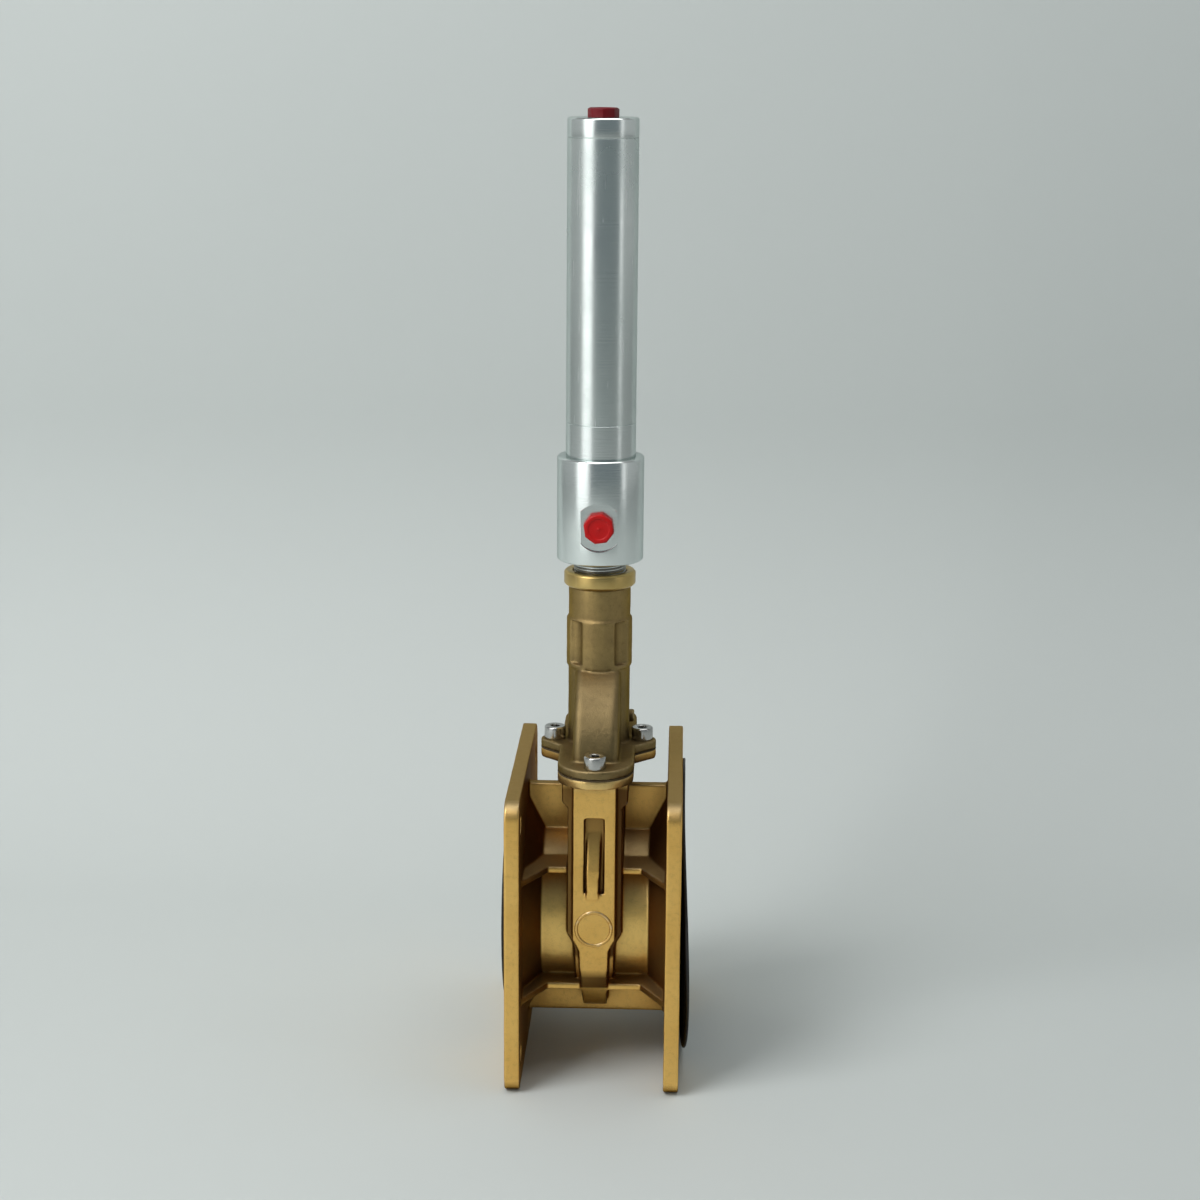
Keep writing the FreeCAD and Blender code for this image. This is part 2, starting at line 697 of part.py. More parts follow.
def make_piston():
    return turned("piston", [
        ("piston_bore_radius + seat_gap", "piston_bottom"),
        ("piston_radius", "piston_bottom"),
        ("piston_radius", "guide_ring_bottom"),
        ("piston_ring_radius - guide_ring_depth", "guide_ring_bottom"),
        ("piston_ring_radius - guide_ring_depth", "guide_ring_bottom + guide_ring_height"),
        ("piston_radius", "guide_ring_bottom + guide_ring_height"),
        ("piston_radius", "piston_seal_bottom"),
        ("piston_ring_radius - piston_seal_depth", "piston_seal_bottom"),
        ("piston_ring_radius - piston_seal_depth", "piston_seal_bottom + piston_seal_height"),
        ("piston_radius", "piston_seal_bottom + piston_seal_height"),
        ("piston_radius", "piston_top"),
        ("piston_bore_radius + seat_gap", "piston_top"),
    ])


def make_piston_nut():
    blank = prism("nut_blank", "6", "nut_width / sqrt(3)", "nut_height", z="piston_top")
    hole = rod_shape("nut_hole", "piston_bore_radius + seat_gap", "nut_height + 2", z="piston_top - 1")
    return trimmed("piston_nut", blank, [hole])


def make_plug(name, y="0", z="0", turn=upright):
    """A moulded port plug: eight-sided dished head on the face it plugs, shank in the port."""
    if turn is upright:
        levels = [(y, z + " - plug_shank_length"), (y, z), (y, z + " + plug_head_height - plug_dish_depth")]
    else:
        levels = [(y + " + plug_shank_length", z), (y, z), (y + " - plug_head_height + plug_dish_depth", z)]
    shank = rod_shape(name + "_shank", "port_radius - plug_gap", "plug_shank_length",
                      y=levels[0][0], z=levels[0][1], turn=turn)
    head = prism(name + "_head", "plug_sides", "plug_head_radius", "plug_head_height",
                 y=levels[1][0], z=levels[1][1], turn=turn)
    dish = rod_shape(name + "_dish", "plug_dish_radius", "plug_dish_depth + 1",
                     y=levels[2][0], z=levels[2][1], turn=turn)
    return trimmed(name, joined(name + "_blank", [shank, head]), [dish])


nodes = [
    make_valve_body(),
    make_bonnet(),
    make_bonnet_gasket(),
    make_screws(),
    make_ring_across("flange_gasket_right", "bore_radius", "gasket_radius",
                     "flange_outer", "gasket_thickness"),
    make_ring_across("flange_gasket_left", "bore_radius", "bore_radius + left_gasket_width",
                     "-flange_outer - gasket_thickness", "gasket_thickness"),
    make_ring_across("seat_seal_right", "bore_radius", "seal_radius", "seal_face", "seal_thickness"),
    make_ring_across("seat_seal_left", "bore_radius", "seal_radius", "-seal_back", "seal_thickness"),
    make_blade(),
    make_clevis(),
    disc_across("clevis_pin", "pin_radius", "pin_length", "pin_height"),
    make_rod(),
    turned_ring("rod_packing", "rod_radius + soft_gap", "packing_radius", "packing_bottom", "spigot_bottom"),
    turned_ring("rod_wiper", "rod_radius + soft_gap", "wiper_radius", "spigot_bottom", "land_bottom"),
    turned_ring("rod_bush", "rod_radius + running_gap", "bush_radius", "bush_bottom", "bush_top"),
    turned_ring("rod_seal", "rod_radius + soft_gap", "rod_seal_radius",
                "bush_top", "bush_top + rod_seal_height"),
    make_head(),
    make_o_ring("head_o_ring", "head_spigot_top - o_ring_offset - o_ring_thickness / 2"),
    turned_ring("lock_ring", "spigot_radius + seat_gap", "tube_radius", "head_top", "ring_top", "tube_edge"),
    turned_ring("cylinder_tube", "tube_bore_radius", "tube_radius", "ring_top", "tube_top", "tube_edge"),
    make_cap(),
    make_o_ring("cap_o_ring", "cap_spigot_bottom + o_ring_offset + o_ring_thickness / 2"),
    make_piston(),
    turned_ring("piston_guide_ring", "piston_ring_radius - guide_ring_depth", "piston_ring_radius",
                "guide_ring_bottom", "guide_ring_bottom + guide_ring_height"),
    turned_ring("piston_seal", "piston_ring_radius - piston_seal_depth", "piston_ring_radius",
                "piston_seal_bottom", "piston_seal_bottom + piston_seal_height"),
    make_piston_nut(),
    make_plug("side_port_plug", y="-port_face", z="port_height", turn=plug_turn),
    make_plug("top_port_plug", z="cap_top"),
]
doc.recompute()

for item in doc.Objects:
    if "Invalid" in item.State or "Error" in item.State:
        raise RuntimeError("%s did not build: %s" % (item.Label, item.State))
for node in nodes:
    if node.Shape.isNull() or not node.Shape.isValid():
        raise RuntimeError("%s has no valid shape" % node.Label)

os.makedirs("parts", exist_ok=True)
for node in nodes:
    node.Shape.exportStep("parts/%s.step" % node.Label)
    print(node.Label, len(node.Shape.Solids), "solid(s), %.1f cm3" % (node.Shape.Volume / 1000))
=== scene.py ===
import json
import math
import bpy
from mathutils import Matrix, Vector


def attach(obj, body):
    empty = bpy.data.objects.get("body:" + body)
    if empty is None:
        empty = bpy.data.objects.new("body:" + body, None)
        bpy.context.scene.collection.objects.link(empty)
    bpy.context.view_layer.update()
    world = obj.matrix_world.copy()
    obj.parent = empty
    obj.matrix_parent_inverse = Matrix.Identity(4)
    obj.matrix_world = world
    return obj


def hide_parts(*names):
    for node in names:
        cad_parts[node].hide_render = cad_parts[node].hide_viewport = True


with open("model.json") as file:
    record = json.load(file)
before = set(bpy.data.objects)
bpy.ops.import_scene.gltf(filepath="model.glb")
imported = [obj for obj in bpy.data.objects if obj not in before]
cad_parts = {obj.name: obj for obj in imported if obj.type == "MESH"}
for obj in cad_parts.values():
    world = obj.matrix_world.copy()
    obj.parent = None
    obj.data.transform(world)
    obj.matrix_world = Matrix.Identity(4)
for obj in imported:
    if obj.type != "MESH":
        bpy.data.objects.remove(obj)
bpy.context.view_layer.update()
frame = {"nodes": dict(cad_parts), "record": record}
print("frame loaded with", len(frame["nodes"]), "nodes")

mm = 0.001
boreAxis = 100.0    # height of the bore's axis, in mm as the sizes below

# the photograph's view, found from the two square flanges
cameraPlan = {
    "place": (0.05277, -1.56446, 0.68056),
    "yaw": 1.925,
    "pitch": 13.226,
    "roll": 0.45,       # between the lean of the body and that of the cylinder
    "lens": 72.02,
    "sensor": 36.0,
    "near": 0.05,
    "far": 30.0,
}
stagePlan = {
    "halfWidth": 1.0,
    "front": -2.4,
    "bend": 0.26,       # where the paper starts to curve up
    "near": 0.01,
    "curve": 0.34,
    "wallTop": 1.3,
    "bendSteps": 16,
    "color": (0.60, 0.635, 0.62),
    "shade": 0.97,      # the darker tone of its faint blotches
    "blotch": 1.6,
    "contrast": 0.35,
    "roughness": 0.75,
    "boardSize": 8.0,   # the board under the paper
    "boardHeight": -0.001,
}
lamps = {
    "keySoftbox": {"place": (-1.15, -1.0, 2.05), "aim": (0.0, 0.0, 0.2), "size": (1.1, 1.1), "power": 31.0},
    "leftPanel": {"place": (-1.35, -1.3, 0.75), "aim": (0.0, 0.0, 0.4), "size": (1.15, 1.5), "power": 6.0},
    "rightStrip": {"place": (1.55, -0.72, 0.8), "aim": (0.0, 0.0, 0.4), "size": (0.28, 1.5), "power": 0.9},
    "backSoftbox": {"place": (0.3, -0.1, 2.6), "aim": (0.0, 0.5, 0.2), "size": (2.0, 1.0), "power": 14.0},
}
studio = {
    "wall": (0.37, 0.39, 0.39),     # pale walls at the sides
    "roof": (0.22, 0.23, 0.23),
    "roofEdge": (0.25, 0.75),
    "room": (0.15, 0.18, 0.19),     # the dim room behind the camera
    "roomTurn": 15.0,
    "roomEdge": (0.62, 0.80),
}


def deselectAll():
    if bpy.context.mode != "OBJECT":
        bpy.ops.object.mode_set(mode="OBJECT")
    bpy.ops.object.select_all(action="DESELECT")


def makeActive(piece):
    deselectAll()
    piece.select_set(True)
    bpy.context.view_layer.objects.active = piece


def addCamera(plan):
    data = bpy.data.cameras.new("viewCamera")
    data.lens = plan["lens"]
    data.sensor_width = plan["sensor"]
    data.clip_start = plan["near"]
    data.clip_end = plan["far"]
    camera = bpy.data.objects.new("viewCamera", data)
    bpy.context.scene.collection.objects.link(camera)
    turn = Matrix.Rotation(math.radians(plan["yaw"]), 4, "Z")
    turn = turn @ Matrix.Rotation(math.radians(90.0 - plan["pitch"]), 4, "X")
    turn = turn @ Matrix.Rotation(math.radians(plan["roll"]), 4, "Z")
    camera.matrix_world = Matrix.Translation(plan["place"]) @ turn
    bpy.context.scene.camera = camera


def addLamps():
    for name, plan in lamps.items():
        data = bpy.data.lights.new(name, "AREA")
        data.shape = "RECTANGLE"
        data.size, data.size_y = plan["size"]
        data.energy = plan["power"]
        lamp = bpy.data.objects.new(name, data)
        bpy.context.scene.collection.objects.link(lamp)
        lamp.location = plan["place"]
        aim = Vector(plan["aim"]) - Vector(plan["place"])
        lamp.rotation_euler = aim.to_track_quat("-Z", "Y").to_euler()


def addNode(tree, kind, **values):
    node = tree.nodes.new("ShaderNode" + kind)
    for name, value in values.items():
        setattr(node, name, value)
    return node


def feed(tree, node, sockets):
    # each socket gets a link or a plain value
    for name, value in sockets.items():
        socket = node.inputs[name]
        if isinstance(value, bpy.types.NodeSocket):
            tree.links.new(value, socket)
        else:
            socket.default_value = value
    return node


def noiseOn(tree, vector, scale, detail, roughness):
    return feed(tree, addNode(tree, "TexNoise"), {
        "Vector": vector, "Scale": scale, "Detail": detail, "Roughness": roughness}).outputs[0]


def spread(tree, value, low, high, toLow=0.0, toHigh=1.0):
    return feed(tree, addNode(tree, "MapRange"), {
        "Value": value, "From Min": low, "From Max": high, "To Min": toLow, "To Max": toHigh}).outputs[0]


def math2(tree, operation, a, b):
    node = addNode(tree, "Math", operation=operation)
    feed(tree, node, {0: a, 1: b})
    return node.outputs[0]


def multiplyAll(tree, first, *others):
    for other in others:
        first = math2(tree, "MULTIPLY", first, other)
    return first


def blendColor(tree, factor, a, b):
    node = addNode(tree, "Mix", data_type="RGBA")
    feed(tree, node, {0: factor, 6: a, 7: b})
    return node.outputs[2]


def rgba(r, g, b):
    return (r, g, b, 1.0)


def newGroup(name, inputs, outputs):
    tree = bpy.data.node_groups.new(name, "ShaderNodeTree")
    for label, value in inputs.items():
        socket = tree.interface.new_socket(label, in_out="INPUT", socket_type="NodeSocketFloat")
        socket.default_value = value
    for label in outputs:
        tree.interface.new_socket(label, in_out="OUTPUT", socket_type="NodeSocketFloat")
    return tree, tree.nodes.new("NodeGroupInput"), tree.nodes.new("NodeGroupOutput")


def makeCloudGroup():
    # soft blotches, as handling and casting leave them
    tree, given, out = newGroup("cloudyTone", {"Scale": 30.0, "Contrast": 0.5}, ["Mask"])
    place = addNode(tree, "TexCoord").outputs["Object"]
    noise = noiseOn(tree, place, given.outputs["Scale"], detail=4.0, roughness=0.6)
    middle, stretch = 0.5, 4.0
    wide = multiplyAll(tree, math2(tree, "SUBTRACT", noise, middle), given.outputs["Contrast"], stretch)
    clamp = feed(tree, addNode(tree, "Clamp"), {"Value": math2(tree, "ADD", wide, middle)})
    tree.links.new(clamp.outputs[0], out.inputs["Mask"])
    return tree


def makeEdgeGroup():
    # 1 on convex corners, 0 on flats, broken up by a fine noise; chips are few and pale
    settings = {"Low": 0.52, "High": 0.6, "Break": 0.5}
    tree, given, out = newGroup("edgeRub", settings, ["Mask", "Hollow", "Chips"])
    point = addNode(tree, "NewGeometry").outputs["Pointiness"]
    place = addNode(tree, "TexCoord").outputs["Object"]
    noise = noiseOn(tree, place, scale=260.0, detail=3.0, roughness=0.6)
    rub = spread(tree, point, given.outputs["Low"], given.outputs["High"])
    gap = math2(tree, "MULTIPLY", noise, given.outputs["Break"])
    tree.links.new(math2(tree, "MULTIPLY", rub, math2(tree, "SUBTRACT", 1.0, gap)), out.inputs["Mask"])
    patches = noiseOn(tree, place, scale=150.0, detail=4.0, roughness=0.65)
    spots = spread(tree, patches, low=0.54, high=0.58)
    tree.links.new(math2(tree, "MULTIPLY", rub, spots), out.inputs["Chips"])
    tree.links.new(spread(tree, point, low=0.49, high=0.42), out.inputs["Hollow"])
    return tree


def makePocketGroup():
    # painted shade: 1 deep in the pockets of the casting, 0 on its open faces
    tree, given, out = newGroup("pocketShade", {"Reach": 0.04, "Open": 0.85, "Shut": 0.5}, ["Mask"])
    around = addNode(tree, "AmbientOcclusion", samples=6, only_local=True)
    tree.links.new(given.outputs["Reach"], around.inputs["Distance"])
    mask = spread(tree, around.outputs["AO"], given.outputs["Open"], given.outputs["Shut"])
    tree.links.new(mask, out.inputs["Mask"])
    return tree


def makeGrainGroup():
    # sand-cast skin: fine grit over soft lumps
    tree, given, out = newGroup("sandSkin", {"Grit": 1400.0, "Lump": 220.0}, ["Height"])
    place = addNode(tree, "TexCoord").outputs["Object"]
    grit = noiseOn(tree, place, given.outputs["Grit"], detail=2.0, roughness=0.6)
    lump = noiseOn(tree, place, given.outputs["Lump"], detail=2.0, roughness=0.5)
    gritShare = 0.55
    parts = [math2(tree, "MULTIPLY", grit, gritShare), math2(tree, "MULTIPLY", lump, 1.0 - gritShare)]
    tree.links.new(math2(tree, "ADD", *parts), out.inputs["Height"])
    return tree


def makeToolGroup():
    # fine rings round the Z axis, as a lathe leaves them, and a few long scratches
    tree, given, out = newGroup("toolMarks", {"Pitch": 2600.0, "Scratches": 0.3}, ["Height", "Streak"])
    place = addNode(tree, "TexCoord").outputs["Object"]
    rings = feed(tree, addNode(tree, "Mapping"), {"Vector": place, "Scale": (0.01, 0.01, 1.0)})
    fine = noiseOn(tree, rings.outputs[0], given.outputs["Pitch"], detail=2.0, roughness=0.5)
    drawn = feed(tree, addNode(tree, "Mapping"), {"Vector": place, "Scale": (1.0, 1.0, 0.05)})
    streak = noiseOn(tree, drawn.outputs[0], scale=420.0, detail=3.0, roughness=0.65)
    line = spread(tree, streak, low=0.62, high=0.7)
    tree.links.new(fine, out.inputs["Height"])
    tree.links.new(math2(tree, "MULTIPLY", line, given.outputs["Scratches"]), out.inputs["Streak"])
    return tree


def addWorld(plan):
    world = bpy.data.worlds.new("studio")
    world.use_nodes = True
    tree = world.node_tree
    way = addNode(tree, "TexCoord").outputs["Generated"]
    turn = math.radians(plan["roomTurn"])
    toRoom = addNode(tree, "VectorMath", operation="DOT_PRODUCT")
    feed(tree, toRoom, {0: way, 1: (math.sin(turn), -math.cos(turn), 0.0)})
    parts = feed(tree, addNode(tree, "SeparateXYZ"), {"Vector": way})
    overhead = spread(tree, parts.outputs["Z"], *plan["roofEdge"])
    walls = blendColor(tree, overhead, rgba(*plan["wall"]), rgba(*plan["roof"]))
    behind = spread(tree, toRoom.outputs["Value"], *plan["roomEdge"])
    around = blendColor(tree, behind, walls, rgba(*plan["room"]))
    tree.links.new(around, tree.nodes["Background"].inputs["Color"])
    bpy.context.scene.world = world


addCamera(cameraPlan)
addLamps()
addWorld(studio)
bpy.context.scene.view_settings.view_transform = "Standard"
print("camera, lamps and studio set")

cloudyTone = makeCloudGroup()
edgeRub = makeEdgeGroup()
pocketShade = makePocketGroup()
sandSkin = makeGrainGroup()
toolMarks = makeToolGroup()


def useGroup(tree, group, values):
    node = tree.nodes.new("ShaderNodeGroup")
    node.node_tree = group
    return feed(tree, node, values)


def startMaterial(name):
    material = bpy.data.materials.new(name)
    material.use_nodes = True
    tree = material.node_tree
    return material, tree, tree.nodes["Principled BSDF"]


def addBump(tree, shader, height, plan):
    bump = feed(tree, addNode(tree, "Bump"), {
        "Height": height, "Strength": plan["bump"], "Distance": plan["depth"]})
    tree.links.new(bump.outputs[0], shader.inputs["Normal"])


def addTone(tree, plan):
    return useGroup(tree, cloudyTone, {"Scale": plan["blotch"], "Contrast": plan["contrast"]}).outputs["Mask"]


def addSkin(tree, plan):
    return useGroup(tree, sandSkin, {"Grit": plan["grit"], "Lump": plan["lump"]}).outputs["Height"]


def addRoughness(tree, tone, plan):
    return spread(tree, tone, 0.0, 1.0, plan["roughHigh"], plan["roughLow"])


# what age and handling do to both castings, and where shade is painted on them
castWearAndShade = {
    "upward": (0.2, 0.75),      # how far a face looks up before it takes the painted top shade
    "sideways": (0.3, 0.8),     # and to the side before it takes the painted flank shade
    "flankShade": {"Open": 0.97, "Shut": 0.6},
    "sole": (0.009, 0.001),     # darker where it stands, in metres above the floor
    "soleShare": 0.75,
    "pits": (0.36, 0.5),
    "rougher": 0.18,            # where hands and cloths don't reach
}
# and what the turned pieces share
scratchRoughness = 0.15
socketShade = {"Open": 0.7, "Shut": 0.45}
plainGrazing = rgba(0.8, 0.8, 0.8)


def addZones(tree, place, color, zones):
    # painted shadow between the steps of the housing, painted shade in the slot, painted warm bounce light on
    # the web plates and painted light on the barrel
    x, y, z = (place.outputs[axis] for axis in "XYZ")
    across = math2(tree, "ABSOLUTE", x, 0.0)
    along = math2(tree, "ABSOLUTE", y, 0.0)
    # painted shadow on the steps beside the nose, stronger on the right side
    width = spread(tree, z, *zones["neck"], zones["stepWidth"], zones["neckWidth"])
    beside = spread(tree, math2(tree, "SUBTRACT", across, width), zones["soft"], 0.0)
    steps = multiplyAll(tree, beside, spread(tree, along, *zones["stepFront"]),
                        spread(tree, along, *zones["stepBack"]), spread(tree, z, *zones["stepTop"]),
                        spread(tree, x, *zones["stepSides"]))
    color = blendColor(tree, steps, color, zones["shadow"])
    # painted shade in the slot, deepest at the lug's top
    slot = multiplyAll(tree, spread(tree, across, *zones["slotSide"]),
                       spread(tree, along, *zones["slotDepth"]), spread(tree, z, *zones["slotFoot"]),
                       zones["slotShare"])
    color = blendColor(tree, slot, color, zones["pocketShading"])
    # painted warm bounce light on the web plates
    plates = multiplyAll(tree, spread(tree, along, *zones["plateFace"]), spread(tree, z, *zones["plateFoot"]),
                         zones["plateShare"])
    color = blendColor(tree, plates, color, zones["paintedBounceWarmth"])
    # painted light across the barrel
    rise = math2(tree, "SUBTRACT", z, zones["axis"])
    square = math2(tree, "ADD", math2(tree, "MULTIPLY", rise, rise), math2(tree, "MULTIPLY", along, along))
    barrel = multiplyAll(tree, spread(tree, square, *zones["barrelSquare"]), zones["barrelShare"])
    return blendColor(tree, barrel, color, zones["paintedBarrelLight"])


def castMetal(name, plan):
    material, tree, shader = startMaterial(name)
    tone = addTone(tree, plan)
    edge = useGroup(tree, edgeRub, {"Low": plan["edgeLow"], "High": plan["edgeHigh"]})
    skin = addSkin(tree, plan)
    # painted shade deep in the casting's pockets
    pocketShading = useGroup(tree, pocketShade, {"Reach": plan["reach"]}).outputs["Mask"]
    way = addNode(tree, "TexCoord")
    facing = feed(tree, addNode(tree, "SeparateXYZ"), {"Vector": way.outputs["Normal"]})
    place = feed(tree, addNode(tree, "SeparateXYZ"), {"Vector": way.outputs["Object"]})
    height = place.outputs["Z"]
    # painted shade: faces that look up are painted duller
    upward = spread(tree, facing.outputs["Z"], *castWearAndShade["upward"])
    topShadeMask = math2(tree, "MULTIPLY", upward, plan["topShadeShare"])
    # painted shade on the side-facing faces inside the pockets
    inside = useGroup(tree, pocketShade, {"Reach": plan["flankReach"], **castWearAndShade["flankShade"]})
    sideways = spread(tree, math2(tree, "ABSOLUTE", facing.outputs["X"], 0.0), *castWearAndShade["sideways"])
    flankShade = multiplyAll(tree, inside.outputs["Mask"], sideways, plan["flankShadeShare"])
    color = blendColor(tree, tone, plan["dark"], plan["light"])
    color = blendColor(tree, spread(tree, height, *plan["tarnishSpan"]), color, plan["tarnish"])
    if "zones" in plan:
        color = addZones(tree, place, color, plan["zones"])
    sole = math2(tree, "MULTIPLY", spread(tree, height, *castWearAndShade["sole"]), castWearAndShade["soleShare"])
    bareSkin = spread(tree, skin, *castWearAndShade["pits"])
    pits = math2(tree, "SUBTRACT", 1.0, bareSkin)
    # painted shade on the tops, flanks, pockets and creases; darker at the foot; real wear on the edges, pale
    # chips and dirt in the grit's pits
    coats = [
        (topShadeMask, None, "topShadeColor"), (flankShade, None, "deep"), (pocketShading, "shade", "deep"),
        (edge.outputs["Hollow"], "creaseShade", "dirtAndShade"), (sole, None, "dirtAndShade"),
        (edge.outputs["Mask"], "rub", "bare"), (edge.outputs["Chips"], "chips", "pale"),
        (pits, "pitted", "dirtAndShade")]
    for mask, share, coat in coats:
        if share:
            mask = math2(tree, "MULTIPLY", mask, plan[share])
        color = blendColor(tree, mask, color, plan[coat])
    tree.links.new(color, shader.inputs["Base Color"])
    hidden = math2(tree, "MAXIMUM", math2(tree, "MAXIMUM", topShadeMask, flankShade), pocketShading)
    hidden = math2(tree, "MULTIPLY", hidden, castWearAndShade["rougher"])
    rough = math2(tree, "ADD", addRoughness(tree, tone, plan), hidden)
    tree.links.new(rough, shader.inputs["Roughness"])
    shader.inputs["Metallic"].default_value = plan["metallic"]
    shader.inputs["Specular Tint"].default_value = plan["grazing"]
    addBump(tree, shader, skin, plan)
    return material


def turnedMetal(name, plan):
    material, tree, shader = startMaterial(name)
    tone = addTone(tree, plan)
    marks = useGroup(tree, toolMarks, {"Pitch": plan["pitch"], "Scratches": plan["scratches"]})
    color = blendColor(tree, tone, plan["dark"], plan["light"])
    color = blendColor(tree, marks.outputs["Streak"], color, plan["scratchColor"])
    # painted shade in the screw's socket
    if "deep" in plan:
        pocketShading = useGroup(tree, pocketShade, {"Reach": plan["reach"], **socketShade})
        color = blendColor(tree, pocketShading.outputs["Mask"], color, plan["deep"])
    tree.links.new(color, shader.inputs["Base Color"])
    scratched = math2(tree, "MULTIPLY", marks.outputs["Streak"], scratchRoughness)
    rough = math2(tree, "ADD", addRoughness(tree, tone, plan), scratched)
    tree.links.new(rough, shader.inputs["Roughness"])
    shader.inputs["Metallic"].default_value = 1.0
    shader.inputs["Specular Tint"].default_value = plan.get("grazing", plainGrazing)
    if "anisotropic" in plan:
        shader.inputs["Anisotropic"].default_value = plan["anisotropic"]
        along = addNode(tree, "Tangent", direction_type="RADIAL", axis="Z")
        tree.links.new(along.outputs[0], shader.inputs["Tangent"])
    addBump(tree, shader, marks.outputs["Height"], plan)
    return material


def mouldedMaterial(name, plan):
    material, tree, shader = startMaterial(name)
    tone = addTone(tree, plan)
    skin = addSkin(tree, plan)
    tree.links.new(blendColor(tree, tone, plan["dark"], plan["light"]), shader.inputs["Base Color"])
    tree.links.new(addRoughness(tree, tone, plan), shader.inputs["Roughness"])
    shader.inputs["Specular IOR Level"].default_value = plan.get("shine", 0.5)
    addBump(tree, shader, skin, plan)
    return material


